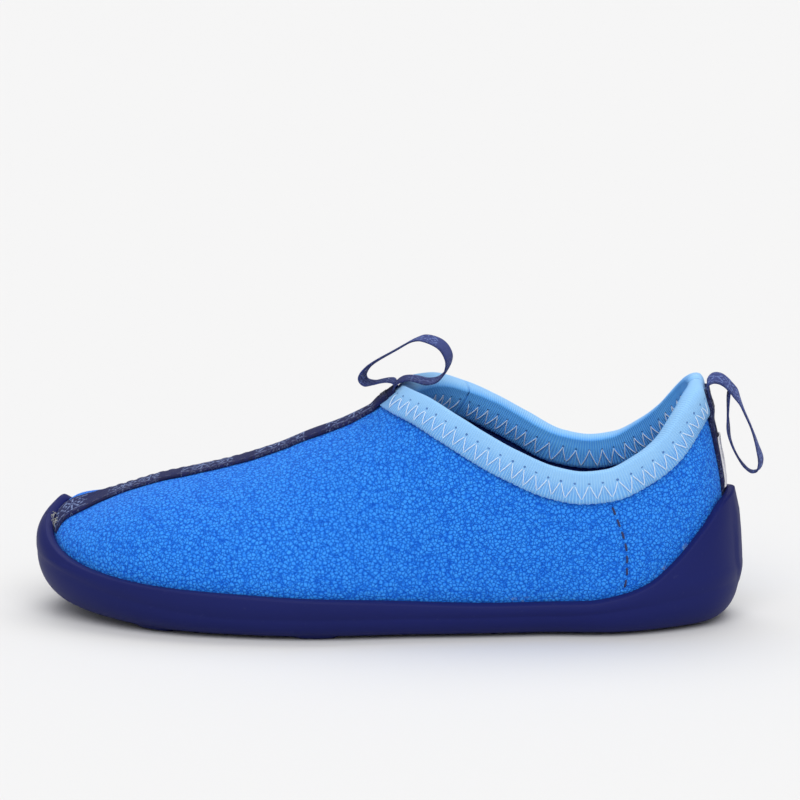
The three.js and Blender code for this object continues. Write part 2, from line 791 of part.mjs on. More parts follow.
// The tapes climb over the binding where they cross it.
const RAMP = 2.5;
const climb = (pastEdge) => {
  const t = clamp((BINDING_WIDTH + GAP + RAMP - pastEdge) / RAMP, 0, 1);
  return GAP + (BINDING_GAP + BINDING) * t;
};
const instepOff = (distance) => climb(INSTEP_LENGTH - distance);
const heelOff = (distance) => climb(distance);
const CUP_CLEARANCE = 1.1; // from the rubber rim at the heel to the end of the tape
const TOE_CLEARANCE = 2.2; // the same at the toe, over the highest part of the rim under the tape
const ROOT_LENGTH = 3; // of the front loop's root, in line with the instep tape
const HALF_TAPE = TAPE_WIDTH / 2;
function clearOfToeRim() {
  const clear = (distance) =>
    [-HALF_TAPE, HALF_TAPE].every((across) => {
      const side = Math.sign(across);
      const place = nearest(seamAt(insteps, distance).p.clone().setY(across), { u: 0, v: 0.5, side });
      return place.v > 0 && skin(place.u, place.v, side).z > rim(side * place.u) + TOE_CLEARANCE;
    });
  let distance = 0;
  while (!clear(distance)) distance += 0.2;
  return distance;
}
const toeStart = clearOfToeRim();
const instepEnd = INSTEP_LENGTH - ROOT_LENGTH - GAP;
const heelEnd = HEEL_LENGTH - CUP_CLEARANCE;
const HEEL_START = 1.2; // below the collar edge
add(
  "instep_tape",
  strip(insteps, toeStart, instepEnd, 34, -HALF_TAPE, HALF_TAPE, instepOff, TAPE),
  "webbing",
);
add(
  "heel_tape",
  strip(heelSeam, HEEL_START, heelEnd, 12, -HALF_TAPE, HALF_TAPE, heelOff, TAPE),
  "webbing",
);

// Rows of stitching along the tapes, in from their edges.
const STITCH_INSET = 0.9;
const onTape = (off) => (distance) => off(distance) + TAPE + GAP;
for (const side of [OUTER, INNER]) {
  const middle = side * (HALF_TAPE - STITCH_INSET);
  const row = [middle - THREAD / 2, middle + THREAD / 2];
  const name = side === OUTER ? "outer" : "inner";
  add(
    `instep_stitch_${name}`,
    strip(insteps, toeStart + 1, instepEnd - 3, 34, ...row, onTape(instepOff), THREAD, 1),
    "navy_thread",
  );
  add(
    `heel_stitch_${name}`,
    strip(heelSeam, HEEL_START + 5.5, heelEnd - 1, 10, ...row, onTape(heelOff), THREAD, 1),
    "navy_thread",
  );
}

// Blank sewn label on the heel tape, between the rows of stitching.
const LABEL_TOP = 12.5; // below the collar edge
const LABEL_LENGTH = 12;
const LABEL_THICKNESS = 0.7;
const HALF_LABEL = HALF_TAPE - STITCH_INSET - THREAD / 2 - GAP;
add(
  "heel_label",
  strip(
    heelSeam,
    LABEL_TOP,
    Math.min(LABEL_TOP + LABEL_LENGTH, heelEnd),
    8,
    -HALF_LABEL,
    HALF_LABEL,
    onTape(heelOff),
    LABEL_THICKNESS,
    4,
  ),
  "label",
);

// ---------------------------------------------------------------- heel pocket
// The dashed seam that closes the pocket on each side: share of its height, and distance behind the middle.
const POCKET_SEAM = [
  [0, 54.2],
  [0.18, 54.9],
  [0.4, 54.9],
  [0.58, 54.3],
  [0.75, 53.2],
  [1, 51.3],
];
const POCKET_SEAM_X = 52; // where its ends are measured, at the rim and at the binding
const seamBottom = rim(-uAtShare(share(POCKET_SEAM_X))) + 1.6;
const seamTop = topline(POCKET_SEAM_X, OUTER) - BINDING_WIDTH - 3 * GAP;
const seamPlace = through(POCKET_SEAM);
const seamX = (z) => seamPlace((z - seamBottom) / (seamTop - seamBottom));
function placeAt(x, z, side) {
  let low = 0;
  let high = 1;
  for (let i = 0; i < 30; i++) {
    const middle = (low + high) / 2;
    if (skin(middle, vAt(middle, side, z), side).x < x) low = middle;
    else high = middle;
  }
  const u = (low + high) / 2;
  return { u, v: vAt(u, side, z) };
}
const POCKET_STATIONS = 8;
const POCKET_ROWS = 6;
const POCKET_MARGIN = 1.5; // below the binding

// How high the layers of the pocket may reach at x, clear of the binding's sloping edge.
function pocketTop(x, side) {
  const step = 0.5;
  const slope = (topline(x + step, side) - topline(x - step, side)) / (2 * step);
  return topline(x, side) - (BINDING_WIDTH + POCKET_MARGIN) * Math.hypot(1, slope);
}

// A sheet inside the heel, from one pocket seam round to the other.
function heelSheet(setBack, top, off, thickness) {
  const bottom = FOOTBED_Z + GAP;
  const sections = [];
  for (let i = -POCKET_STATIONS; i <= POCKET_STATIONS; i++) {
    const side = i <= 0 ? OUTER : INNER;
    const t = Math.abs(i) / POCKET_STATIONS;
    const middle = mix(bottom, top, 0.5);
    const x = skin(mix(1, placeAt(seamX(middle) + setBack, middle, side).u, t), 0.3, side).x;
    const reach = Math.min(top, pocketTop(x, side));
    const places = steps(POCKET_ROWS).map((row) => {
      const z = mix(bottom, reach, row);
      const u = mix(1, placeAt(seamX(z) + setBack, z, side).u, t);
      return { u, v: vAt(u, side, z) };
    });
    sections.push(
      sheetSection(
        places.map(({ u, v }) => onSkin(u, v, side, off)),
        places.map(({ u, v }) => onSkin(u, v, side, off - thickness)),
      ),
    );
  }
  return loft(sections);
}
const LINING_TOP = 46;
const COUNTER_TOP = 40;
const counterOff = -NEOPRENE - INSIDE_GAP;
const liningOff = counterOff - COUNTER - GAP;
add("heel_counter", heelSheet(4, COUNTER_TOP, counterOff, COUNTER), "stiffener");
add("heel_lining", heelSheet(0.5, LINING_TOP, liningOff, LINING), "lining");

for (const side of [OUTER, INNER]) {
  const rings = steps(10).map((t) => {
    const z = mix(seamBottom, seamTop, t);
    const [a, b] = [-1, 1].map((k) => placeAt(seamX(z) + (k * THREAD) / 2, z, side));
    return [
      onSkin(a.u, a.v, side, GAP + THREAD),
      onSkin(b.u, b.v, side, GAP + THREAD),
      onSkin(b.u, b.v, side, GAP),
      onSkin(a.u, a.v, side, GAP),
    ];
  });
  add(`pocket_stitch_${side === OUTER ? "outer" : "inner"}`, loft(rings), "navy_thread");
}

// ---------------------------------------------------------------- pull loops
// Each loop's strip of webbing is bent in the plane of the seams. Points are forward or back from the loop's
// hinge line, and up from it.
const LOOP_STEPS = 3; // sections for each point
function ribbon(points, endless, origin) {
  const curve = new THREE.CatmullRomCurve3(
    points.map(([x, z]) => new THREE.Vector3(origin.x + x, 0, origin.z + z)),
    endless,
    "centripetal",
  );
  const count = LOOP_STEPS * points.length;
  const rings = steps(count).map((t) => {
    const p = curve.getPoint(t);
    const along = curve.getTangent(t);
    const face = new THREE.Vector3(-along.z, 0, along.x).multiplyScalar(LOOP_THICKNESS / 2);
    return [
      [1, -1],
      [1, 1],
      [-1, 1],
      [-1, -1],
    ].map(([over, across]) => {
      const corner = p.clone().addScaledVector(face, over);
      return corner.setY((across * LOOP_WIDTH) / 2);
    });
  });
  return loft(endless ? rings.slice(0, -1) : rings, endless);
}

// The front loop's root lies in line with the instep tape and ends at the collar's front.
const rootStrip = strip(
  insteps,
  INSTEP_LENGTH - ROOT_LENGTH,
  INSTEP_LENGTH,
  3,
  -LOOP_WIDTH / 2,
  LOOP_WIDTH / 2,
  instepOff,
  TAPE,
);
add("front_loop_root", rootStrip, "webbing");
const collarFront = seamAt(insteps, INSTEP_LENGTH);
const FRONT_HINGE = onSkin(collarFront.u, 1, OUTER, instepOff(INSTEP_LENGTH) + TAPE + GAP + 0.6).setY(0);
const FRONT_LOOP = [
  [0.7, -0.1],
  [-1.2, -0.5],
  [-2.6, -1.2],
  [-4.4, -1.8],
  [-6.2, -1.5],
  [-6.9, -0.1],
  [-5.6, 1.8],
  [0.6, 5.7],
  [4.9, 8.1],
  [7.4, 8.4],
  [11.1, 6.8],
  [12.7, 3.9],
  [12.1, 1],
  [10.6, -0.7],
  [8.2, -1.2],
  [3.8, -0.5],
];
add("front_pull_loop", ribbon(FRONT_LOOP, true, FRONT_HINGE), "webbing");

// The heel loop's root stands off the top of the heel tape and bends over backwards; the loop hangs from it.
const heelTop = onSkin(1, vTop(1, OUTER), OUTER, heelOff(0) + TAPE + GAP + LOOP_THICKNESS / 2).setY(0);
const HEEL_ROOT = [
  [1.3, -2.6],
  [0.3, 0.2],
  [1.3, 1.7],
  [3, 1],
  [4, -0.8],
];
add("heel_loop_root", ribbon(HEEL_ROOT, false, heelTop), "webbing");
const HEEL_HINGE = heelTop.clone().add(new THREE.Vector3(4.3, 0, -1.4));
const HEEL_LOOP = [
  [0.2, -0.4],
  [1.4, -2.4],
  [3.6, -7],
  [5.7, -12.5],
  [7.2, -17.2],
  [5.6, -19.2],
  [2.8, -17],
  [0.1, -12],
  [-0.9, -7.5],
  [-0.9, -3],
  [-0.5, -1.2],
];
add("heel_pull_loop", ribbon(HEEL_LOOP, true, HEEL_HINGE), "webbing");

// ---------------------------------------------------------------- bar-tacks
// Dense stitching across the strip, where a loop's root is sewn down.
const TACK_LENGTH = 1.4;
const TACK_INSET = 1; // from each edge
const tack = (line, from, halfWidth, offAt) =>
  strip(line, from, from + TACK_LENGTH, 2, TACK_INSET - halfWidth, halfWidth - TACK_INSET, offAt, THREAD);
add(
  "front_bar_tack",
  tack(insteps, instepEnd - 0.4 - TACK_LENGTH, HALF_TAPE, onTape(instepOff)),
  "navy_thread",
);
add(
  "heel_bar_tack",
  tack(heelSeam, 4.6, HALF_TAPE, onTape(heelOff)),
  "navy_thread",
);

export default group;
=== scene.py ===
import math

import bmesh
import bpy
import numpy as np
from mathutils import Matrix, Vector


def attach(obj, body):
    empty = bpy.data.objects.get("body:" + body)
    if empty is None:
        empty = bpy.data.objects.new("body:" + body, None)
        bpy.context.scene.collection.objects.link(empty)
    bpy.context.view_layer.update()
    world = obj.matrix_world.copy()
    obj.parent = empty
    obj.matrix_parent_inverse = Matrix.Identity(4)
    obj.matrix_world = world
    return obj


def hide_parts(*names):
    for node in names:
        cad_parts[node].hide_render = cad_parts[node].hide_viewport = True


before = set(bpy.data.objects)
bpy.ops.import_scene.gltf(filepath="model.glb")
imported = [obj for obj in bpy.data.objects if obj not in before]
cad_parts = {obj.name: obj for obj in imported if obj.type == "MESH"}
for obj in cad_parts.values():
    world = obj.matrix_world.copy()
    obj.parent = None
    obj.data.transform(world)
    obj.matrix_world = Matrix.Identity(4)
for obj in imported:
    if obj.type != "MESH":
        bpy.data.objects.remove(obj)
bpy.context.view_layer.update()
bpy.ops.object.select_all(action="DESELECT")

# ---------------------------------------------------------------- camera
# The camera stands almost square to the outer side of the shoe, a little above it, and far off.
CAMERA_AZIMUTH = math.radians(4)
CAMERA_ELEVATION = math.radians(11)
CAMERA_DISTANCE = 1.2
CAMERA_TARGET = Vector((0.0025, 0, 0.049))
CAMERA_LENS = 237.9
to_camera = Vector((
    math.sin(CAMERA_AZIMUTH) * math.cos(CAMERA_ELEVATION),
    -math.cos(CAMERA_AZIMUTH) * math.cos(CAMERA_ELEVATION),
    math.sin(CAMERA_ELEVATION),
))
bpy.ops.object.camera_add(
    location=CAMERA_TARGET + CAMERA_DISTANCE * to_camera,
    rotation=to_camera.to_track_quat("Z", "Y").to_euler(),
)
camera = bpy.context.object
camera.data.lens = CAMERA_LENS
camera.data.sensor_width = 36
camera.data.clip_start = 0.05
camera.data.clip_end = 50
bpy.context.scene.camera = camera


# ---------------------------------------------------------------- floor and light
# A white studio sweep: one wide pale floor, a sky of even light, and two broad soft lamps:
# one high in front, one high behind.
class Line:
    """A line in a material's node tree. Python's arithmetic on lines and numbers adds Math nodes."""

    def __init__(self, tree, socket=None):
        self.tree = tree
        self.socket = socket

    def node(self, kind, sockets=(), output=0, stops=None, **settings):
        made = self.tree.nodes.new("ShaderNode" + kind)
        for name, value in settings.items():
            setattr(made, name, value)
        if stops:
            ramp = made.color_ramp
            ramp.elements.remove(ramp.elements[1])
            ramp.elements[0].position = stops[0][0]
            ramp.elements[0].color = (*stops[0][1], 1)
            for place, colour in stops[1:]:
                ramp.elements.new(place).color = (*colour, 1)
        for name, value in dict(sockets).items():
            if isinstance(value, Line):
                self.tree.links.new(value.socket, made.inputs[name])
            else:
                made.inputs[name].default_value = value
        return Line(self.tree, made.outputs[output])

    def math(self, operation, *values):
        return self.node("Math", enumerate(values), operation=operation)

    def __add__(self, other):
        return self.math("ADD", self, other)

    def __sub__(self, other):
        return self.math("SUBTRACT", self, other)

    def __rsub__(self, other):
        return self.math("SUBTRACT", other, self)

    def __mul__(self, other):
        return self.math("MULTIPLY", self, other)

    def __truediv__(self, other):
        return self.math("DIVIDE", self, other)

    def __mod__(self, other):
        return self.math("FLOORED_MODULO", self, other)

    def __abs__(self):
        return self.math("ABSOLUTE", self)

    __radd__ = __add__
    __rmul__ = __mul__

    def sine(self):
        return self.math("SINE", self)

    def power(self, exponent):
        return self.math("POWER", self, exponent)

    def least(self, other):
        return self.math("MINIMUM", self, other)

    def most(self, other):
        return self.math("MAXIMUM", self, other)

    def ramp(self, low, high, to_low=0.0, to_high=1.0):
        """Maps low to to_low and high to to_high, eased, and holds outside."""
        sockets = {0: self, 1: low, 2: high, 3: to_low, 4: to_high}
        return self.node("MapRange", sockets, interpolation_type="SMOOTHSTEP")

    def blend(self, low, high):
        """The colour low where this is 0, and high where it is 1."""
        low, high = (c if isinstance(c, Line) else (*c, 1) for c in (low, high))
        return self.node("Mix", {0: self, 6: low, 7: high}, output=2, data_type="RGBA")


class Finish:
    """A material whose nodes start from lines for Object coordinates and for a mesh's own attributes."""

    def __init__(self, name, **constants):
        self.material = bpy.data.materials.new(name)
        self.material.use_nodes = True
        self.tree = self.material.node_tree
        self.shader = self.tree.nodes["Principled BSDF"]
        for socket, value in constants.items():
            self.shader.inputs[socket.replace("_", " ")].default_value = value
        self.start = Line(self.tree)
        self.place = self.start.node("TexCoord", output="Object")

    def attribute(self, name):
        return self.start.node("Attribute", output="Fac", attribute_name=name)

    def noise(self, scale, detail=2.0, roughness=0.5, place=None):
        sockets = {"Vector": place or self.place, "Scale": scale, "Detail": detail, "Roughness": roughness}
        return self.start.node("TexNoise", sockets)

    def waves(self, scale, distortion, detail=1.0, direction="Z"):
        """Fine ridges, as a weave or a knit has."""
        sockets = {"Vector": self.place, "Scale": scale, "Distortion": distortion, "Detail": detail}
        return self.start.node("TexWave", sockets, output="Fac", bands_direction=direction)

    def set(self, **lines):
        for socket, line in lines.items():
            self.tree.links.new(line.socket, self.shader.inputs[socket.replace("_", " ")])
        return self

    def bump(self, height, depth):
        """Height from 0 to 1 stands depth metres high."""
        sockets = {"Height": height, "Distance": depth, "Strength": 1.0}
        return self.set(Normal=self.start.node("Bump", sockets))


def srgb(red, green, pebble_colour_painted_shade_highlight):
    """A colour as it looks on a screen, from 0 to 255, as the light it stands for."""
    return tuple((c / 255 / 12.92) if c < 10.3 else ((c / 255 + 0.055) / 1.055) ** 2.4 for c in (red, green, pebble_colour_painted_shade_highlight))


FLOOR_SIZE = 16
FLOOR_SHADES = [(0.793, 0.791, 0.788), (0.798, 0.796, 0.793)]
bpy.ops.mesh.primitive_plane_add(size=FLOOR_SIZE)
floor = bpy.context.object
floor.name = "floor"
floor_finish = Finish("studio_floor", Roughness=0.9, Specular_IOR_Level=0.1)
floor_finish.set(Base_Color=floor_finish.noise(3.0).blend(*FLOOR_SHADES))
floor.data.materials.append(floor_finish.material)

SKY_COLOUR = (0.99, 0.992, 1.0)
SKY_STRENGTH = 0.55
LAMP_SPREAD = math.radians(50)
# Each lamp's strength and its tilt towards the viewer and towards the toe, in degrees.
LAMPS = [(1.42, 40, 6), (1.0, -30, 0)]
world = bpy.data.worlds.new("studio")
world.use_nodes = True
sky = world.node_tree.nodes["Background"].inputs
sky["Color"].default_value = (*SKY_COLOUR, 1)
sky["Strength"].default_value = SKY_STRENGTH
bpy.context.scene.world = world
for strength, tilt, turn in LAMPS:
    bpy.ops.object.light_add(type="SUN", rotation=(math.radians(tilt), math.radians(turn), 0))
    lamp = bpy.context.object
    lamp.data.energy = strength
    lamp.data.angle = LAMP_SPREAD
bpy.context.scene.view_settings.view_transform = "Standard"

# ---------------------------------------------------------------- last
# The wooden form that the upper is drawn over. It is no piece of the shoe, but every piece takes its shape from
# it. Lengths here are in millimetres. u runs from the toe (0) to the heel (1) along either side, and v from the
# feather edge at the bottom (-1) by the widest line (0) to the ridge (1).
OUTER = -1
INNER = 1
SHOE_LENGTH = 160
BALL_WIDTH = 60
COLLAR_HEIGHT = 55
TOE_HEIGHT = 23.4
RUBBER_WALL = 2.1
WALL_BULGE = 0.4
CUP_GAP = 0.45
FEATHER_HEIGHT = 5.8
TOE_SPRING = 2.2
SPRING_REACH = 38.4
TUCK = 1.0
# The toe box rises towards the big toe, and falls a little towards the small one.
INNER_ROLL = 0.34
OUTER_ROLL = 0.14
ROLL_REACH = 0.06
# The ribs fan out at both ends: how far their tops stand in from the outline there, and how soon that fades.
TOE_FAN, TOE_FADE = 7, 11
HEEL_FAN, HEEL_FADE = 32, 34
OUTLINE_START = -SHOE_LENGTH / 2 + RUBBER_WALL + CUP_GAP + WALL_BULGE / 2
OUTLINE_LENGTH = -2 * OUTLINE_START


def through(pairs):
    """A smooth curve through pairs of numbers, held level past its ends."""
    xs, ys = np.array(pairs, float).T
    width = np.diff(xs)
    rise = np.diff(ys) / width
    product, total = rise[:-1] * rise[1:], rise[:-1] + rise[1:]
    inside = np.where(product > 0, 2 * product / np.where(total == 0, 1, total), 0)
    slope = np.concatenate([rise[:1], inside, rise[-1:]])

    def curve(x):
        at = np.clip(x, xs[0], xs[-1])
        i = np.clip(np.searchsorted(xs, at) - 1, 0, len(width) - 1)
        t = (at - xs[i]) / width[i]
        value = ys[i] * (1 + 2 * t) * (1 - t) ** 2 + ys[i + 1] * t * t * (3 - 2 * t)
        return value + width[i] * (slope[i] * t * (1 - t) ** 2 - slope[i + 1] * t * t * (1 - t))

    return curve


# Shares of the length, and half widths as shares of the ball width, outer and inner side.
HALF_WIDTHS = [
    (0.074, 0.325, 0.315), (0.177, 0.462, 0.415), (0.306, 0.523, 0.457), (0.384, 0.53, 0.46),
    (0.565, 0.462, 0.425), (0.726, 0.4, 0.38), (0.855, 0.368, 0.36), (0.939, 0.265, 0.262),
]
TOE_RADIUS = 21
HEEL_RADIUS = 20
# Heights as shares of the way from the toe's height to the collar's.
RIDGE = [
    (0, 0.003), (0.05, 0.041), (0.113, 0.142), (0.165, 0.223), (0.223, 0.288), (0.275, 0.357),
    (0.332, 0.453), (0.393, 0.578), (0.435, 0.66), (0.478, 0.769), (0.52, 0.917), (0.565, 1.103),
    (0.61, 1.292), (0.66, 1.516), (0.745, 1.722), (0.9, 1.962),
]
COLLAR_FRONT = 0.52
TOPLINES = [
    (COLLAR_FRONT, 0.917, 0.917), (0.558, 0.893, 0.914), (0.607, 0.794, 0.828), (0.649, 0.687, 0.722),
    (0.694, 0.574, 0.594), (0.75, 0.457, 0.457), (0.79, 0.424, 0.424), (0.825, 0.44, 0.45),
    (0.87, 0.536, 0.579), (0.9, 0.639, 0.708), (0.93, 0.828, 0.88), (0.95, 0.94, 0.966),
    (0.97, 0.991, 1), (1, 1, 1),
]
# Height of the rubber rim round the shoe, from the heel by the outer side to the toe and back by the inner side.
RIM = [
    (-1, 30), (-0.93, 28.3), (-0.87, 22.8), (-0.8165, 16.2), (-0.78, 12), (-0.745, 9.8), (-0.7, 8.4),
    (-0.62, 8.2), (-0.48, 9.4), (-0.3275, 10.8), (-0.245, 11.4), (-0.19, 12.1), (-0.14, 13.2),
    (-0.092, 14.9), (-0.04, 17.3), (0, 18.8), (0.04, 20.4), (0.075, 21.4), (0.1, 20.4),
    (0.13, 18.8), (0.18, 16.6), (0.25, 14), (0.34, 12), (0.48, 10.5), (0.62, 9.5), (0.7, 9.5),
    (0.745, 10.3), (0.78, 12), (0.8165, 16.2), (0.87, 22.8), (0.93, 28.3), (1, 30),
]
rim = through(RIM)
widest = through([(0, 13), (0.3, 11.5), (0.75, 12), (1, 14)])
crown = through([(0, 2.6), (0.2, 2.0), (0.4, 1.6), (0.52, 1.7), (0.7, 1.9), (1, 1.75)])
ridge_share = through(RIDGE)
topline_outer = through([(s, outer) for s, outer, _ in TOPLINES])
topline_inner = through([(s, inner) for s, _, inner in TOPLINES])


def fullness(column):
    ends = [math.sqrt(radius * OUTLINE_LENGTH / 2) for radius in (TOE_RADIUS, HEEL_RADIUS)]
    middle = []
    for row in HALF_WIDTHS:
        round_share = 2 * math.sqrt(row[0] * (1 - row[0]))
        middle.append((row[0], row[column] * BALL_WIDTH / round_share))
    return through([(0, ends[0]), *middle, (1, ends[1])])


fullness_outer = fullness(1)
fullness_inner = fullness(2)


def mix(a, b, t):
    return a + (b - a) * t


def share(x):
    return (x - OUTLINE_START) / OUTLINE_LENGTH


def ridge(x):
    return mix(TOE_HEIGHT, COLLAR_HEIGHT, ridge_share(share(x)))


def topline(x, side):
    part = np.where(side == OUTER, topline_outer(share(x)), topline_inner(share(x)))
    return mix(TOE_HEIGHT, COLLAR_HEIGHT, part)


def lift(x):
    """How far the ground side of everything lifts at the toe."""
    return TOE_SPRING * np.clip((-SHOE_LENGTH / 2 + SPRING_REACH - x) / SPRING_REACH, 0, 1) ** 2


def spine(x):
    """The ridge point that the rib from an outline point climbs to."""
    from_toe, from_heel = x - OUTLINE_START, -OUTLINE_START - x
    return x + TOE_FAN * np.exp(-from_toe / TOE_FADE) - HEEL_FAN * np.exp(-from_heel / HEEL_FADE)


def outline(u, side):
    s = (1 - np.cos(np.pi * u)) / 2
    half = np.where(side == OUTER, fullness_outer(s), fullness_inner(s))
    return OUTLINE_START + s * OUTLINE_LENGTH, side * np.sin(np.pi * u) * half


def outline_normal(u, side):
    x0, y0 = outline(np.clip(u - 1e-3, 0, 1), side)
    x1, y1 = outline(np.clip(u + 1e-3, 0, 1), side)
    length = np.hypot(x1 - x0, y1 - y0)
    nx, ny = (y1 - y0) / length * -side, (x1 - x0) / length * side
    end = (u <= 0) | (u >= 1)
    return np.where(end, np.where(u <= 0, -1.0, 1.0), nx), np.where(end, 0.0, ny)


def skin(u, v, side):
    """The last's face."""
    u, v, side = np.broadcast_arrays(np.asarray(u, float), np.asarray(v, float), np.asarray(side, float))
    bx, by = outline(u, side)
    s = share(bx)
    foot = widest(s) + lift(bx)
    nx, ny = outline_normal(u, side)
    under = np.minimum(v, 0)
    inset = TUCK * under**2
    low = np.stack([bx - nx * inset, by - ny * inset, foot + under * (foot - FEATHER_HEIGHT - lift(bx))], -1)
    angle = np.clip(v, 0, 1) * np.pi / 2
    power = 2 / crown(s)
    along = 1 - np.clip(np.cos(angle), 0, 1) ** power
    up = np.sin(angle) ** power
    tx = spine(bx)
    slope = ridge(tx + 0.5) - ridge(tx - 0.5)
    ceiling = ridge(tx) - slope * (tx - bx) * (1 - along)
    y = by * (1 - along)
    roll = np.where(side == INNER, INNER_ROLL, OUTER_ROLL) * np.exp(-((s / ROLL_REACH) ** 2)) * y * up
    high = np.stack([mix(bx, tx, along), y, foot + (ceiling - foot) * up + roll], -1)
    return np.where((v < 0)[..., None], low, high)


def unit(vectors):
    return vectors / np.maximum(np.linalg.norm(vectors, axis=-1, keepdims=True), 1e-12)


def skin_normal(u, v, side):
    step = 1e-3
    u, v, side = np.broadcast_arrays(np.asarray(u, float), np.asarray(v, float), np.asarray(side, float))
    uu, vv = np.clip(u, step, 1 - step), np.clip(v, -1, 0.99)
    du = skin(uu + step, vv, side) - skin(uu - step, vv, side)
    dv = skin(uu, vv + step, side) - skin(uu, vv - step, side)
    normal = np.cross(du, dv) * -side[..., None]
    normal[..., 1] = np.where((u <= 0) | (u >= 1) | (v >= 1), 0, normal[..., 1])
    return unit(normal)


def on_skin(u, v, side, off=0.0):
    off = np.asarray(off, float)
    return skin(u, v, side) + skin_normal(u, v, side) * off[..., None]


def v_at(u, side, height):
    """Where on its rib the last reaches a height, which is a function of x."""
    low, high = np.full(np.shape(u), -1.0), np.full(np.shape(u), 1.0)
    for _ in range(30):
        middle = (low + high) / 2
        p = skin(u, middle, side)
        under = p[..., 2] < height(p[..., 0])
        low, high = np.where(under, middle, low), np.where(under, high, middle)
    return (low + high) / 2


def v_rim(u, side):
    top = rim(side * u) + lift(outline(u, side)[0])
    return v_at(u, side, lambda x: top)


def nearest(points, u, v, side):
    """The places on the last nearest to points, found by narrowing a window round a first guess."""
    span = np.array([0.12, 0.35])
    grid = np.linspace(-1, 1, 9)
    du, dv = (g.ravel() for g in np.meshgrid(grid, grid))
    row = np.arange(len(u))
    for _ in range(8):
        uu = np.clip(u[:, None] + span[0] * du, 0, 1)
        vv = np.clip(v[:, None] + span[1] * dv, -1, 1)
        distance = ((skin(uu, vv, side[:, None]) - points[:, None]) ** 2).sum(-1)
        best = distance.argmin(1)
        u, v = uu[row, best], vv[row, best]
        span = span * 0.45
    return u, v


u_samples = np.linspace(0, 1, 4001)
U_COLLAR = float(np.interp(COLLAR_FRONT, share(spine(outline(u_samples, OUTER)[0])), u_samples))


def v_top(u, side):
    edge_v = v_at(u, side, lambda x: np.minimum(topline(x, side), ridge(x)))
    return np.where(u <= U_COLLAR, 1.0, edge_v)


# ---------------------------------------------------------------- quarters
# Two panels of pebble-embossed neoprene, knit-lined, that meet edge to edge along the instep and up the heel.
# Each is drawn over its side of the last, and its bottom edge is glued down inside the rubber cup.
NEOPRENE = 2.4
SEAM_GAP = 0.15
FRONT_COLUMNS = 170
COLLAR_COLUMNS = 200
QUARTER_ROWS = 84


def piece(name, grids, **attributes):
    """A mesh from grids of points, (rows, columns, 3) in millimetres. Grids that share edges are welded."""
    points, faces, values = [], [], {key: [] for key in attributes}
    base = 0
    for k, grid in enumerate(grids):
        rows, columns = grid.shape[:2]
        index = base + np.arange(rows * columns).reshape(rows, columns)
        quads = np.stack([index[:-1, :-1], index[:-1, 1:], index[1:, 1:], index[1:, :-1]], -1)
        points.append(grid.reshape(-1, 3))
        faces.extend(quads.reshape(-1, 4).tolist())
        for key, value in attributes.items():
            values[key].append(np.broadcast_to(value[k], (rows, columns)).ravel())
        base += rows * columns
    mesh = bpy.data.meshes.new(name)
    mesh.from_pydata((np.concatenate(points) * 0.001).tolist(), [], faces)
    for key in attributes:
        layer = mesh.attributes.new(key, "FLOAT", "POINT")
        layer.data.foreach_set("value", np.concatenate(values[key]).astype(np.float32))
    made = bmesh.new()
    made.from_mesh(mesh)
    bmesh.ops.remove_doubles(made, verts=made.verts, dist=2e-6)
    bmesh.ops.dissolve_degenerate(made, edges=made.edges, dist=1e-7)
    holes = [edge for edge in made.edges if edge.is_boundary]
    if holes:
        bmesh.ops.holes_fill(made, edges=holes, sides=0)
    bmesh.ops.recalc_face_normals(made, faces=made.faces)
    made.to_mesh(mesh)
    made.free()
    mesh.shade_smooth()
    made_object = bpy.data.objects.new(name, mesh)
    bpy.context.collection.objects.link(made_object)
    return made_object


def wear(made, finish, body, slot, *nodes):
    """Gives a piece its finish, the body it moves with, and the CAD nodes that it stands for."""
    made.data.materials.clear()
    made.data.materials.append(finish.material)
    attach(made, body)
    if nodes:
        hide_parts(*nodes)
    return made


def shell(outside, inside):
    """The grids of a closed shell: two faces and the strips round their edges."""
    walls = [np.stack([outside[pick], inside[pick]]) for pick in (0, -1)]
    walls += [np.stack([outside[:, pick], inside[:, pick]]) for pick in (0, -1)]
    return [outside, inside, *walls]


POCKET_SEAM = through([(0, 54.2), (0.18, 54.9), (0.4, 54.9), (0.58, 54.3), (0.75, 53.2), (1, 51.3)])
POCKET_LOW = 10.6
POCKET_HIGH = 30.1
POCKET_PITCH = 2.75
POCKET_DASH = 1.9
# The dent that the thread pulls into the foam, and the swelling on either side of it.
DENT_DEPTH, DENT_REACH = 0.32, 0.8
PUFF_HEIGHT, PUFF_ASIDE, PUFF_REACH = 0.1, 2, 1.2
# Marks the faces that the rubber's rim is nowhere near.
FAR_ABOVE = 9


def pocket_x(z):
    return POCKET_SEAM((z - POCKET_LOW) / (POCKET_HIGH - POCKET_LOW))


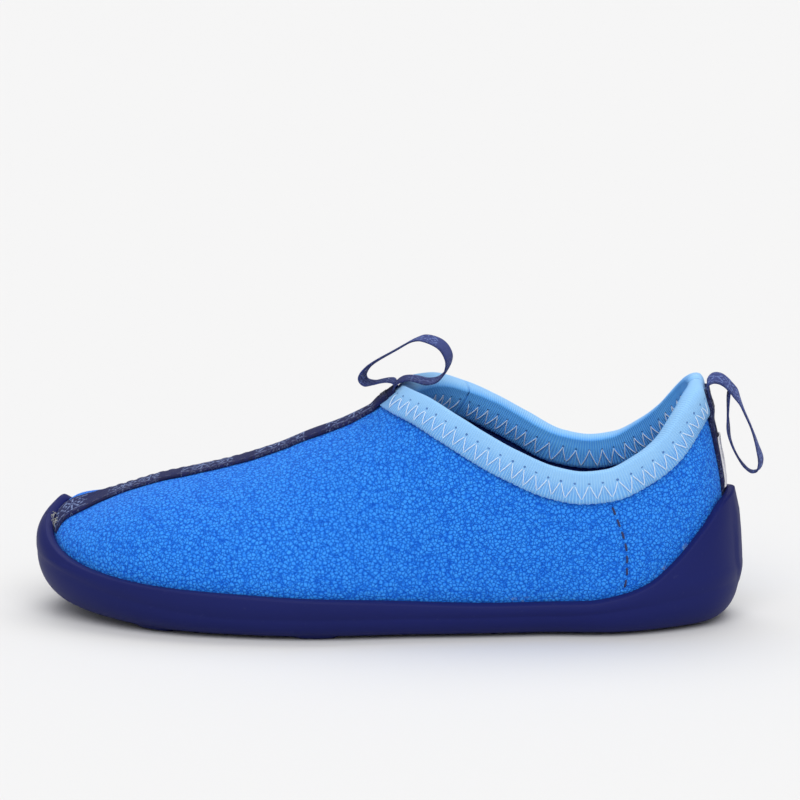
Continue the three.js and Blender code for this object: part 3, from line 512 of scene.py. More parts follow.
def quarter(name, side, finish, node):
    front = np.linspace(0, U_COLLAR, FRONT_COLUMNS, endpoint=False)
    back = mix(U_COLLAR, 1, np.linspace(0, 1, COLLAR_COLUMNS) ** 1.5)
    u = np.concatenate([front, back])[:, None]
    rows = np.linspace(0, 1, QUARTER_ROWS)[None, :] ** 0.75
    v = mix(-1, v_top(u, side), rows)
    u = np.broadcast_to(u, v.shape)
    face = skin(u, v, side)
    z = face[..., 2]
    aside = face[..., 0] - pocket_x(z)
    on_seam = (z > POCKET_LOW) & (z < POCKET_HIGH + 1) & (u > 0.6)
    along = np.cos((z - POCKET_LOW) / POCKET_PITCH * 2 * np.pi) * 0.5 + 0.5
    dent = -DENT_DEPTH * np.exp(-((aside / DENT_REACH) ** 2)) * (0.45 + 0.55 * along)
    puff = PUFF_HEIGHT * np.exp(-(((np.abs(aside) - PUFF_ASIDE) / PUFF_REACH) ** 2))
    outside = on_skin(u, v, side, np.where(on_seam, dent + puff, 0))
    inside = on_skin(u, v, side, -NEOPRENE)
    for grid in (outside, inside):
        grid[..., 1] = np.where(grid[..., 1] * side < SEAM_GAP, SEAM_GAP * side, grid[..., 1])
    above = face[..., 2] - rim(side * u) - lift(face[..., 0])
    lined = [0, 1, 0.5, 0.5, 0.5, 0.5]
    made = piece(name, shell(outside, inside), lined=lined, over_rim=[above] + [FAR_ABOVE] * 5)
    return wear(made, finish, "shoe", "neoprene_blue", node)


# The embossing: cells of 0.8 mm, pushed about by a finer noise, each with a dome and a crevice round it.
PEBBLE_SCALE = 1250.0
PEBBLE_SHIFT = (0.0009, 0.0009, 0.0009)
neoprene = Finish(
    "pebbled_neoprene", Roughness=0.82, Specular_IOR_Level=0.18, Sheen_Weight=0.04, Sheen_Roughness=0.5)
jumble = neoprene.start.node(
    "TexNoise", {"Vector": neoprene.place, "Scale": 1100.0, "Detail": 2.0}, output="Color")
shift = neoprene.start.node("VectorMath", {0: jumble, 1: PEBBLE_SHIFT}, operation="MULTIPLY")
pebble_place = neoprene.start.node("VectorMath", {0: neoprene.place, 1: shift}, operation="ADD")


def pebble_cells(feature):
    sockets = {"Vector": pebble_place, "Scale": PEBBLE_SCALE, "Randomness": 1.0}
    return neoprene.start.node("TexVoronoi", sockets, feature=feature)


crevice = pebble_cells("DISTANCE_TO_EDGE").ramp(0.0, 0.17)
dome = pebble_cells("F1").ramp(0.75, 0.1)
pebble = crevice * 0.5 + dome * 0.32 + neoprene.noise(1700.0, 2.0).ramp(0.3, 0.7) * 0.18
patches = neoprene.noise(60.0, 3.0)
grain = neoprene.noise(2600.0, 2.0)
# The colour follows the relief: painted darker in the crevices as painted shade, and paler on the domes as painted
# highlight.
pebble_colour_painted_shade_highlight = neoprene.start.node(
    "ValToRGB",
    {"Fac": pebble * 0.8 + grain * 0.14 + patches * 0.06},
    stops=[
        (0.15, srgb(6, 84, 198)),
        (0.38, srgb(24, 114, 228)),
        (0.6, srgb(36, 131, 242)),
        (0.88, srgb(60, 158, 255)),
    ],
)
lining_knit = neoprene.noise(1800.0, 2.0).blend(srgb(17, 38, 104), srgb(31, 60, 140))
glue_spots = neoprene.noise(240.0, 3.0, 0.7).ramp(0.56, 0.68)
glue_runs = neoprene.noise(38.0, 1.0).ramp(0.50, 0.62)
glue = neoprene.attribute("over_rim").ramp(1.3, 0.2) * glue_spots * glue_runs * 0.75
faced = glue.blend(pebble_colour_painted_shade_highlight, srgb(150, 178, 215))
is_lining = neoprene.attribute("lined")
neoprene.set(Base_Color=is_lining.blend(faced, lining_knit), Roughness=0.92 - pebble * 0.14)
neoprene.bump(pebble * 0.9 + grain * 0.12, 0.0002)
quarter("neoprene_quarter_outer", OUTER, neoprene, "quarter_outer")
quarter("neoprene_quarter_inner", INNER, neoprene, "quarter_inner")

# ---------------------------------------------------------------- layers under the foot
# A die-cut cloth sock on a foam insole, over the strobel board and the filler in the cup. Only the sock is seen,
# through the mouth of the shoe.
SOCK_BOTTOM = 9.7
SOCK_THICKNESS = 0.6
SOCK_INSET = 2.75
# The sock's upper edge is cut at a slant.
SOCK_BEVEL_HEIGHT = 0.2
SOCK_BEVEL_WIDTH = 0.25
SOCK_STATIONS = 120
SOCK_COLUMNS = 24


def around(ring_at, stations):
    """A closed ring of points round the shoe: toe, outer side, heel, inner side."""
    u = np.linspace(0, 1, stations + 1)
    return np.concatenate([ring_at(u, OUTER), ring_at(u[::-1], INNER)])


def across(ring_at, stations, columns):
    """Rows of points straight across from the outer to the inner side of such a ring."""
    u = np.linspace(0, 1, stations + 1)
    t = (1 - np.cos(np.linspace(0, np.pi, columns))) / 2
    a, b = ring_at(u, OUTER), ring_at(u, INNER)
    return a[:, None] + (b - a)[:, None] * t[None, :, None]


def sock_edge(height, inset):
    def ring_at(u, side):
        p = skin(u, -1, side)
        nx, ny = outline_normal(u, side)
        return np.stack([p[:, 0] - nx * inset, p[:, 1] - ny * inset, height + lift(p[:, 0])], -1)

    return ring_at


SOCK_TOP = SOCK_BOTTOM + SOCK_THICKNESS
sock_edges = [
    sock_edge(SOCK_BOTTOM, SOCK_INSET),
    sock_edge(SOCK_TOP - SOCK_BEVEL_HEIGHT, SOCK_INSET),
    sock_edge(SOCK_TOP, SOCK_INSET + SOCK_BEVEL_WIDTH),
]
sock = piece("insole_sock", [
    np.stack([around(edge, SOCK_STATIONS) for edge in sock_edges]),
    *(across(sock_edges[pick], SOCK_STATIONS, SOCK_COLUMNS) for pick in (0, -1)),
])
sock_cloth = Finish("sock_cloth", Roughness=0.9, Sheen_Weight=0.1)
weft = sock_cloth.waves(320.0, 1.5, direction="X")
sock_mix = weft * 0.6 + sock_cloth.noise(1500.0) * 0.4
sock_cloth.set(Base_Color=sock_mix.blend(srgb(16, 34, 92), srgb(30, 56, 128)))
sock_cloth.bump(weft, 0.00012)
wear(sock, sock_cloth, "shoe", "lining_cloth", "insole_cover")

# Each layer's CAD node, its two shades, the scale of its specks, and its roughness.
HIDDEN_LAYERS = [
    ("midsole_foam", srgb(52, 62, 96), srgb(70, 80, 112), 1400.0, 0.95),
    ("insole_foam", srgb(58, 70, 108), srgb(74, 86, 124), 1600.0, 0.95),
    ("strobel_board", srgb(196, 190, 172), srgb(222, 216, 200), 500.0, 0.9),
    # The stiffener is coloured near-black so that where it shows through gaps it reads as shadow: painted shade.
    ("heel_counter", srgb(22, 27, 46), srgb(31, 37, 58), 300.0, 0.6),
]
for node, dark, light, scale, roughness in HIDDEN_LAYERS:
    layer_finish = Finish(f"{node}_stuff", Roughness=roughness)
    specks = layer_finish.noise(scale, 3.0)
    layer_finish.set(Base_Color=specks.blend(dark, light)).bump(specks, 0.0001)
    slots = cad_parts[node].data.materials
    slots.clear()
    slots.append(layer_finish.material)

# ---------------------------------------------------------------- heel lining
# A knitted lining inside the heel, sewn through both quarters by a dashed seam on each side. It pockets the
# moulded stiffener and stops short of the binding.
LINING_TOP = 46
LINING_BOTTOM = 10.6
LINING_OFF = -4.4
LINING_THICKNESS = 0.8
# How far it stops short of the binding, how far behind the dashed seam it starts, and the strip there that is
# sewn down to the neoprene.
LINING_MARGIN = 0.6
LINING_BEHIND = 0.5
LINING_SEWN_OFF = -2.6
LINING_SEWN_WIDTH = 3.0
BINDING_WIDTH = 6.6
LINING_STATIONS = 31
LINING_ROWS = 26


def place_at(x, z, side):
    """The place on the last at x and z."""
    low, high = np.zeros(np.shape(x)), np.ones(np.shape(x))
    for _ in range(22):
        middle = (low + high) / 2
        short = skin(middle, v_at(middle, side, lambda at: z), side)[..., 0] < x
        low, high = np.where(short, middle, low), np.where(short, high, middle)
    u = (low + high) / 2
    return u, v_at(u, side, lambda at: z)


def lining_top(x, side):
    slope = topline(x + 0.5, side) - topline(x - 0.5, side)
    return topline(x, side) - (BINDING_WIDTH + LINING_MARGIN) * np.hypot(1, slope)


def heel_lining(side):
    """Both faces of one half of the lining, from the back seam round to the dashed seam."""
    t = np.linspace(0, 1, LINING_STATIONS)[:, None]
    middle = np.full(1, (LINING_BOTTOM + LINING_TOP) / 2)
    start = place_at(pocket_x(middle) + LINING_BEHIND, middle, side)[0]
    x = skin(mix(1, start, t), 0.3, side)[..., 0]
    reach = np.minimum(LINING_TOP, lining_top(x, side))
    z = mix(LINING_BOTTOM, reach, np.linspace(0, 1, LINING_ROWS)[None, :])
    u = mix(1, place_at(pocket_x(z) + LINING_BEHIND, z, side)[0], t)
    v = v_at(u, side, lambda at: z)
    behind = skin(u, v, side)[..., 0] - pocket_x(z) - LINING_BEHIND
    off = mix(LINING_SEWN_OFF, LINING_OFF, np.clip(behind / LINING_SEWN_WIDTH, 0, 1))
    return [on_skin(u, v, side, off - thickness) for thickness in (0, LINING_THICKNESS)]


lining_sides = [heel_lining(side) for side in (OUTER, INNER)]
lining_faces = [
    np.concatenate([outer_half[::-1], inner_half[1:]]) for outer_half, inner_half in zip(*lining_sides)
]
heel_cloth = Finish("lining_cloth", Roughness=0.92, Sheen_Weight=0.15)
wales = heel_cloth.waves(420.0, 2.0)
heel_mix = wales * 0.5 + heel_cloth.noise(2200.0) * 0.5
heel_cloth.set(Base_Color=heel_mix.blend(srgb(15, 34, 98), srgb(34, 66, 150)))
heel_cloth.bump(wales, 0.0001)
wear(piece("heel_lining_knit", shell(*lining_faces)), heel_cloth, "shoe", "lining_cloth", "heel_lining")

# ---------------------------------------------------------------- collar edge
# The quarters' top edge, measured round from the middle of the heel by the inner side to the front of the collar
# and back by the outer side. The binding and its seams are laid out from it.
EDGE_STEPS = 240
TANGENT_REACH = 0.4
spaced = mix(U_COLLAR, 1, np.linspace(0, 1, EDGE_STEPS + 1) ** 2)
edge_u = np.concatenate([spaced[::-1], spaced[1:]])
edge_v = np.concatenate([v_top(spaced, INNER)[::-1], v_top(spaced, OUTER)[1:]])
edge_side = np.concatenate([np.full(EDGE_STEPS + 1, INNER), np.full(EDGE_STEPS, OUTER)])
edge_points = skin(edge_u, edge_v, edge_side)
edge_at = np.concatenate([[0], np.cumsum(np.linalg.norm(np.diff(edge_points, axis=0), axis=1))])
EDGE_LENGTH = edge_at[-1]
FRONT_AT = edge_at[EDGE_STEPS]


def on_edge(at):
    at = np.mod(at, EDGE_LENGTH)
    point = np.stack([np.interp(at, edge_at, edge_points[:, k]) for k in range(3)], -1)
    u, v = np.interp(at, edge_at, edge_u), np.interp(at, edge_at, edge_v)
    return u, v, np.where(at < FRONT_AT, INNER, OUTER), point


def edge_frame(at):
    """Outwards and downwards at places along the edge."""
    u, v, side, _ = on_edge(at)
    tangent = unit(on_edge(at + TANGENT_REACH)[3] - on_edge(at - TANGENT_REACH)[3])
    out = skin_normal(u, v, side)
    down = unit(np.cross(out, tangent))
    return out, np.where(down[..., 2:] > 0, -down, down)


def below(at, distance):
    """The places on the last a distance below the edge, square to it."""
    at, distance = (a.ravel() for a in np.broadcast_arrays(np.asarray(at, float), np.asarray(distance, float)))
    u, v, side, point = on_edge(at)
    _, down = edge_frame(at)
    uu, vv = nearest(point + down * distance[:, None], u, v, side)
    return np.where(distance > 0, uu, u), np.where(distance > 0, vv, v), side


# ---------------------------------------------------------------- collar binding
# A ribbed elastic tape folded over the edge of both quarters, 6.6 mm down each face, with a soft rounded fold.
# Its ends butt on the inner side, a little behind the front of the collar.
BINDING_GAP = 0.5
INSIDE_GAP = 0.4
BINDING = 0.8
JOIN_FROM_FRONT = 22
JOIN_GAP = 0.3
BINDING_STATIONS = 460
# Places down either face, and how much fuller or thinner the tape is there, outside and inside.
LEG = np.array([6.6, 6.35, 5.6, 4.6, 3.5, 2.4, 1.3, 0.5])
LEG_SWELL = np.array([-0.5, -0.12, 0.02, 0.0, 0.05, 0.2, 0.38, 0.45])
INNER_SWELL = np.array([-0.5, -0.12, 0.02, 0.0, -0.02, -0.1, -0.3, -0.65])
FOLD_RISE = 0.65
INNER_RISE = 0.1
FOLD_STEPS = 11
# At the heel the fold is fuller and higher.
HEEL_REACH = 13
HEEL_RISE = 0.9
HEEL_SWELL = 0.25
# Under both webbing tapes it is pressed flat.
PRESSED_GAP = 0.15
PRESSED_SWELL = -0.35
PRESSED_TOP = -0.25
PRESSED_REACH = 5.2
# The zigzag seam draws its lower edge into ripples.
RIPPLE = 0.09
ZIGZAG_PITCH = 2.8
ZIGZAG_LOW = 5.8
ZIGZAG_WIDTH = 3.6

join_at = FRONT_AT - JOIN_FROM_FRONT
station = np.linspace(join_at + JOIN_GAP / 2, join_at + EDGE_LENGTH - JOIN_GAP / 2, BINDING_STATIONS)
from_front = np.abs(np.mod(station, EDGE_LENGTH) - FRONT_AT)
from_heel = np.abs(np.mod(station + EDGE_LENGTH / 2, EDGE_LENGTH) - EDGE_LENGTH / 2)
at_heel = np.exp(-((from_heel / HEEL_REACH) ** 2))
flattened = np.exp(-((np.minimum(from_front, from_heel) / PRESSED_REACH) ** 4))
leg_down = np.tile(LEG, len(station))
leg_at = np.repeat(station, len(LEG))
leg_flattened = np.repeat(flattened, len(LEG))
ripple = RIPPLE * np.sin(leg_at * 2 * np.pi / (ZIGZAG_PITCH / 2)) * (leg_down > 6)
leg_u, leg_v, leg_side = below(leg_at, leg_down + ripple)
full = np.tile(LEG_SWELL, len(station)) + HEEL_SWELL * np.repeat(at_heel, len(LEG)) * (leg_down < 6)
swell = mix(full, PRESSED_SWELL, leg_flattened)
inner_swell = np.tile(INNER_SWELL, len(station))
outer_gap = mix(BINDING_GAP, PRESSED_GAP, leg_flattened)


def leg(off):
    return on_skin(leg_u, leg_v, leg_side, off).reshape(len(station), len(LEG), 3)


out, down = edge_frame(station)
edge_point = on_edge(station)[3]
UNDER_OFF = -NEOPRENE - INSIDE_GAP
top_off = mix(BINDING_GAP + BINDING + LEG_SWELL[-1], PRESSED_GAP + BINDING + PRESSED_TOP, flattened)


def fold(outside, inside, rise):
    """The tape's bend over the edge, from one distance off the last to another."""
    angle = np.linspace(0, np.pi, FOLD_STEPS)[None, :, None]
    centre, radius = (((outside + part * inside) / 2)[:, None, None] for part in (1, -1))
    up = -(down * rise[:, None])[:, None]
    return edge_point[:, None] + out[:, None] * (centre + radius * np.cos(angle)) + up * np.sin(angle)


outer_leg = leg(outer_gap + BINDING + swell)
over = fold(top_off, UNDER_OFF - BINDING - INNER_SWELL[-1], FOLD_RISE + HEEL_RISE * at_heel)
under = fold(mix(BINDING_GAP, PRESSED_GAP, flattened), UNDER_OFF, INNER_RISE + 0.5 * HEEL_RISE * at_heel)
band = np.concatenate([
    outer_leg,
    over,
    leg(UNDER_OFF - BINDING - inner_swell)[:, ::-1],
    leg(UNDER_OFF),
    under[:, ::-1],
    leg(outer_gap)[:, ::-1],
    outer_leg[:, :1],
], axis=1)
level, legs = np.zeros(FOLD_STEPS), len(LEG)
across_fold = np.concatenate([-LEG, level, LEG[::-1], LEG, level, -LEG[::-1], -LEG[:1]])
turning = np.linspace(0, 1, FOLD_STEPS)
facing_in = np.concatenate([np.zeros(legs), turning, np.ones(2 * legs), turning[::-1], np.zeros(legs + 1)])


def to_needle(places, start, end):
    """How far places along the edge are from the nearest upper corner of a zigzag."""
    pitch = (end - start) / round((end - start) / ZIGZAG_PITCH)
    return np.abs(np.mod(places - start + pitch / 2, pitch) - pitch / 2)


# Where each run of the zigzag starts and ends along the edge: the outside ones stop at the webbing.
SEAM_RUNS = {
    "outer": (FRONT_AT + 5.4, EDGE_LENGTH - 6.8),
    "inner": (6.8, FRONT_AT - 5.4),
    "inside": (join_at + 1.4, join_at + EDGE_LENGTH - 1.4),
}
once_round = np.mod(station, EDGE_LENGTH)
outside_needle = np.where(
    once_round < FRONT_AT, to_needle(once_round, *SEAM_RUNS["inner"]), to_needle(once_round, *SEAM_RUNS["outer"]))
inside_needle = to_needle(station, *SEAM_RUNS["inside"])
needle = np.where(facing_in[None, :] > 0.5, inside_needle[:, None], outside_needle[:, None])
binding = piece(
    "collar_binding_knit",
    [band],
    along=[(station - join_at)[:, None]],
    depth=[across_fold[None, :]],
    inward=[facing_in[None, :]],
    needle=[needle],
)
knit = Finish("ribbed_knit", Roughness=0.85, Specular_IOR_Level=0.15, Sheen_Weight=0.08, Sheen_Roughness=0.4)
RIB_PITCH = 0.55
NEEDLE_HOLE = ZIGZAG_LOW - ZIGZAG_WIDTH - 0.12
rib = (knit.attribute("along") * (2 * math.pi / RIB_PITCH)).sine() * 0.5 + 0.5
from_edge = abs(knit.attribute("depth"))
fuzz = knit.noise(3000.0, 2.0)
cloud = knit.noise(130.0, 2.0)
near_fold = from_edge.ramp(5.5, 0.8)
from_needle = knit.attribute("needle").power(2) + (from_edge - NEEDLE_HOLE).power(2)
# The needle holes are pressed in and also painted darker: painted shade in the pits.
hole = from_needle.ramp(0.10, 0.03)
pale_share = rib * (0.44 - near_fold * 0.3) + near_fold * 0.42 + cloud * 0.2
pale = pale_share.blend(srgb(96, 168, 242), srgb(176, 222, 255))
# The inner face is painted a deeper, more saturated blue: painted shade with painted blue light bounced off the
# neoprene.
inner_face_painted_shade_and_bounce = (rib * 0.5 + cloud * 0.4).blend(srgb(62, 150, 252), srgb(124, 204, 255))
inward = knit.attribute("inward").ramp(0.45, 1.0)
knit.set(Base_Color=(hole * 0.75).blend(inward.blend(pale, inner_face_painted_shade_and_bounce), srgb(38, 88, 178)))
knit.bump(rib * (0.9 - near_fold * 0.5) + fuzz * 0.2 - hole * 0.8, 0.0002)
wear(binding, knit, "shoe", "knit_light_blue", "collar_binding")

# ---------------------------------------------------------------- zigzag seam
# Polyester thread that catches the binding in a zigzag on each face. Each stitch dives into the knit at its
# corners and stands proud between them.
THREAD_RADIUS = 0.12
SEGMENT_POINTS = 5
THREAD_ARCH = 0.24
THREAD_DIVE = 0.22
UNEVEN = 0.22


def threads(name, paths, normals, radius, sides=6, taper=0.35):
    """Runs of thread along paths, (runs, points, 3), whose rings turn with the normals."""
    tangent = unit(np.gradient(paths, axis=1))
    across_thread = unit(np.cross(tangent, normals))
    upright = np.cross(across_thread, tangent)
    angle = np.linspace(0, 2 * np.pi, sides + 1)[None, None, :, None]
    size = np.full(paths.shape[1], radius)
    size[[0, -1]] *= taper
    ring = np.cos(angle) * across_thread[:, :, None] + np.sin(angle) * upright[:, :, None]
    grids = paths[:, :, None] + ring * size[None, :, None, None]
    return piece(name, list(grids))


def zigzag(name, start, end, off):
    """One run of the seam, whose corners are a little uneven, at a distance off the last."""
    corners = 2 * round((end - start) / ZIGZAG_PITCH)
    t = np.linspace(0, corners, corners * SEGMENT_POINTS + 1)
    at = mix(start, end, t / corners)
    wave = np.abs(np.mod(t + 1, 2) - 1)
    depth = ZIGZAG_LOW - ZIGZAG_WIDTH * (1 - wave)
    near_corner = np.abs(t - np.round(t)) * 2
    generator = np.random.default_rng(7)
    depth = depth + np.interp(t, np.arange(corners + 1), generator.uniform(-UNEVEN, UNEVEN, corners + 1))
    u, v, side = below(at, depth)
    arch = THREAD_ARCH * np.sin(near_corner * np.pi / 2) - THREAD_DIVE * (near_corner < 0.01)
    height = off + np.sign(off) * arch
    path = on_skin(u, v, side, height)
    return threads(name, path[None], skin_normal(u, v, side)[None], THREAD_RADIUS)


white_thread = Finish("white_thread", Roughness=0.6, Sheen_Weight=0.2)
strand = white_thread.noise(4000.0, 1.0)
white_thread.set(Base_Color=strand.blend(srgb(188, 220, 250), srgb(228, 242, 255))).bump(strand, 0.00005)
ON_KNIT = 0.06
for where, (start, end) in SEAM_RUNS.items():
    off = UNDER_OFF - BINDING - ON_KNIT if where == "inside" else BINDING_GAP + BINDING + ON_KNIT
    run = zigzag(f"zigzag_thread_{where}", start, end, off)
    wear(run, white_thread, "shoe", "thread_white", f"zigzag_stitch_{where}")

# ---------------------------------------------------------------- webbing tapes
# Flat woven tape, 9 mm wide, sewn down over both seams. It climbs over the binding, and at the toe its end is
# pressed flat and runs under the rubber rim.
TAPE = 0.65
HALF_TAPE = 4.5
TAPE_COLUMNS = 13
# The webbing's underside is this far off the quarters, and this much higher over the binding.
TAPE_LIES = 0.1
BINDING_STEP = 0.65
BINDING_EASE = 3.2
# How its edges wander: how far, over what length, and how much out of step the two edges are.
EDGE_WAVER = [(0.13, 3.1, 1.7), (0.08, 1.3, 4)]
# The instep tape stops this short of the collar, where the front loop's root starts.
ROOT_LENGTH = 3.6
# At the toe the instep tape drifts to the outer side.
TOE_DRIFT = -3.6
DRIFT_FADE = 10


class Seam:
    """A line of places on the plane of the seams, measured along."""

    def __init__(self, u, v, zero=0, drift=0.0):
        self.u, self.v = (np.asarray(a, float) for a in np.broadcast_arrays(u, v))
        self.points = skin(self.u, self.v, OUTER)
        self.points[:, 1] = 0
        self.at = np.concatenate([[0], np.cumsum(np.linalg.norm(np.diff(self.points, axis=0), axis=1))])
        self.at -= self.at[zero]
        self.length = self.at[-1]
        self.drift = drift

    def beside(self, distance, aside, off):
        """Points off the upper, aside of the seam."""
        distance, aside, off = (np.asarray(a, float) for a in np.broadcast_arrays(distance, aside, off))
        aside = aside + self.drift * np.exp(-((np.maximum(distance, 0) / DRIFT_FADE) ** 2))
        shape = distance.shape
        d, y, o = distance.ravel(), aside.ravel(), off.ravel()
        u, v = np.interp(d, self.at, self.u), np.interp(d, self.at, self.v)
        centre = np.stack([np.interp(d, self.at, self.points[:, k]) for k in range(3)], -1)
        middle = np.abs(y) < 1e-9
        side = np.where(y < 0, OUTER, INNER)
        target = centre.copy()
        target[:, 1] = y
        uu, vv = nearest(target, u, v, side)
        found = on_skin(np.where(middle, u, uu), np.where(middle, v, vv), side, o)
        found[middle, 1] = 0
        return found.reshape(*shape, 3)


toe_rim_v, heel_rim_v = (float(v_rim(np.array(end), OUTER)) for end in (0.0, 1.0))
UNDER_RIM = 12
toe_v = np.concatenate([
    np.linspace(toe_rim_v - 0.16, toe_rim_v, UNDER_RIM, endpoint=False), np.linspace(toe_rim_v, 1, 61)])
ridge_u = np.linspace(0, U_COLLAR, 201)[1:]
instep = Seam(
    np.concatenate([np.zeros(len(toe_v)), ridge_u]),
    np.concatenate([toe_v, np.ones(len(ridge_u))]),
    zero=UNDER_RIM,
    drift=TOE_DRIFT,
)
heel = Seam(1.0, np.linspace(float(v_top(np.array(1.0), OUTER)), heel_rim_v - 0.12, 140))


def over_binding(points):
    """1 where a point of the last is under the binding, easing to 0 past its lower edge."""
    flat = points.reshape(-1, 3)
    away = np.array([np.sqrt(((edge_points - p) ** 2).sum(1).min()) for p in flat]).reshape(points.shape[:-1])
    t = np.clip((BINDING_WIDTH + 2.6 - away) / BINDING_EASE, 0, 1)
    return t * t * (3 - 2 * t)


def hugging(seam, d, y):
    """How far the webbing's underside is off the last: close to the quarters, and up over the binding."""
    return TAPE_LIES + BINDING_STEP * over_binding(seam.beside(d, y, 0.0))


def strip(name, upper, lower, along, aside, half):
    """A closed strip of webbing. Its pattern is laid out along it and aside of its middle."""
    return piece(name, shell(upper, lower), along=[along, along, 0, 0, along[:, 0], along[:, 0]],
                 aside=[aside, aside, 0, 0, half, half])


def thinned(t, start, part):
    """How thick webbing is across its half width: full, and thinner by a part from start to the edge."""
    return 1 - part * np.clip((np.abs(t) - start) / (1 - start), 0, 1) ** 2


def webbing(name, seam, start, end, rows, squeezed, phase):
    """A tape sewn down over a seam, its edges a little wavy, squeezed thin where the rubber grips it."""
    d = np.linspace(start, end, rows)[:, None]
    t = np.linspace(-1, 1, TAPE_COLUMNS)[None, :]
    waver = sum(far * np.sin(d / length + turn * np.sign(t)) for far, length, turn in EDGE_WAVER)
    y = t * (HALF_TAPE + waver * np.abs(t))
    sewn_in = 0.14 * np.exp(-(((np.abs(t) - 0.8) / 0.07) ** 2))
    waves = 0.06 * np.sin(d / 4.3) + 0.05 * np.sin(d / 1.9 + 2 * t)
    pressed, thick = squeezed(d)
    low = hugging(seam, d + 0 * y, y) * pressed
    upper = seam.beside(d, y, low + thick * thinned(t, 0.86, 0.45) + (waves - sewn_in) * np.minimum(thick, 1))
    lower = seam.beside(d, y, low + 0 * t)
    return strip(name, upper, lower, d + phase, y, HALF_TAPE)


INSTEP_END = instep.length - ROOT_LENGTH
HEEL_END = float(np.interp(heel_rim_v + 1e-9, heel.v[::-1], heel.at[::-1]))


def squeeze(inside, margin):
    """How close the tape lies and how thick it is, at a distance inside the rubber's rim."""
    return np.clip((inside + margin) / 4, 0.2, 1), TAPE * np.clip((inside + 2) / 4, 0.3, 1)


def squeezed_at_toe(d):
    return squeeze(d, 1.5)


def squeezed_at_heel(d):
    return squeeze(HEEL_END - d, 1.5)


# The motif: groups of lozenges with a bar between every two, framed by a rail on each side.
YARN_PITCH, PICK_PITCH = 0.55, 0.5
GROUP_PITCH, GROUP_END = 17.5, 12.9
LOZENGE_LENGTH, LOZENGE_HALF_WIDTH = 3.1, 2.4
BAR_PITCH = 2 * LOZENGE_LENGTH
RAIL_ASIDE = 2.9


def woven(name, base_dark, base_light, motif_colour):
    """Plain woven tape with a repeating motif of lozenges and bars in a paler yarn."""
    cloth = Finish(name, Roughness=0.8, Specular_IOR_Level=0.15, Sheen_Weight=0.04, Sheen_Roughness=0.5)
    along, aside = cloth.attribute("along"), cloth.attribute("aside")
    warp = (aside * (2 * math.pi / YARN_PITCH)).sine()
    pick = (along * (2 * math.pi / PICK_PITCH)).sine()
    weave = (warp * pick) * 0.5 + 0.5
    in_pitch = along % GROUP_PITCH
    in_group = in_pitch.ramp(0.3, 0.7) * in_pitch.ramp(GROUP_END, GROUP_END - 0.4)
    half = LOZENGE_LENGTH / 2
    lozenge = abs(along % LOZENGE_LENGTH - half) / half + abs(aside) / LOZENGE_HALF_WIDTH
    outlines = abs(lozenge - 0.85).ramp(0.26, 0.12)
    dot = lozenge.ramp(0.36, 0.24)
    bars = abs(along % BAR_PITCH - BAR_PITCH / 2).ramp(0.28, 0.14) * abs(aside).ramp(RAIL_ASIDE + 0.3, RAIL_ASIDE)
    rails = abs(abs(aside) - RAIL_ASIDE).ramp(0.24, 0.1)
    broken = cloth.noise(1300.0, 2.0, 0.6).ramp(0.4, 0.56)
    motif = (outlines.most(dot).most(bars).most(rails) * in_group * broken).least(1.0)
    yarn = (weave * 0.5 + cloth.noise(900.0) * 0.5).blend(base_dark, base_light)
    cloth.set(Base_Color=(motif * 0.75).blend(yarn, motif_colour))
    cloth.bump(weave * 0.6 + motif * 0.5 + cloth.noise(2500.0) * 0.2, 0.00018)
    return cloth


tape_cloth = woven("woven_tape", srgb(14, 20, 66), srgb(34, 42, 98), srgb(136, 156, 206))
instep_tape = webbing("instep_webbing", instep, -2.2, INSTEP_END, 240, squeezed_at_toe, 4.0)
wear(instep_tape, tape_cloth, "shoe", "webbing_navy", "instep_tape")
heel_tape = webbing("heel_webbing", heel, 1.2, HEEL_END + 1.4, 110, squeezed_at_heel, 2.0)
wear(heel_tape, tape_cloth, "shoe", "webbing_navy", "heel_tape")

# ---------------------------------------------------------------- tape stitching
# A row of navy lockstitch along each edge of both tapes, and a dashed row on each side that closes the pocket
# of the heel lining.
STITCH = 2.0
STITCH_PITCH = 2.5
STITCH_INSET = 0.9
STITCH_RADIUS = 0.16
POCKET_RADIUS = 0.24
# How deep a stitch is sunk in, how high its middle arches, and how deep its ends dive.
TAPE_SUNK, TAPE_ARCH, TAPE_DIVE = 0.2, 0.12, 0.15
POCKET_SUNK, POCKET_ARCH, POCKET_DIVE = 0.16, 0.18, 0.3
TACK_SUNK, TACK_ARCH, TACK_DIVE = 0.06, 0.08, 0.15
DASH_POINTS = 7
dash_t = np.linspace(0, 1, DASH_POINTS)
dash_arch = np.sin(np.pi * dash_t)
dash_end = np.abs(dash_t - 0.5) > 0.49

navy_thread = Finish("navy_thread", Roughness=0.55, Sheen_Weight=0.15)
twist = navy_thread.noise(3500.0, 1.0)
navy_thread.set(Base_Color=twist.blend(srgb(12, 18, 62), srgb(38, 48, 108))).bump(twist, 0.00005)


def on_tape(seam, d, y, rise):
    """Points on the webbing's upper face, and the direction out of it."""
    height = hugging(seam, d, y) + TAPE + rise
    points = seam.beside(d, y, height)
    return points, unit(seam.beside(d, y, height + 1) - points)


def tape_stitches(name, seam, side, start, end, node):
    d = np.arange(start, end - STITCH, STITCH_PITCH)[:, None] + STITCH * dash_t
    y = np.full(d.shape, side * (HALF_TAPE - STITCH_INSET))
    rise = -TAPE_SUNK + TAPE_ARCH * dash_arch - TAPE_DIVE * dash_end
    made = threads(name, *on_tape(seam, d, y, rise), STITCH_RADIUS)
    return wear(made, navy_thread, "shoe", "thread_navy", node)


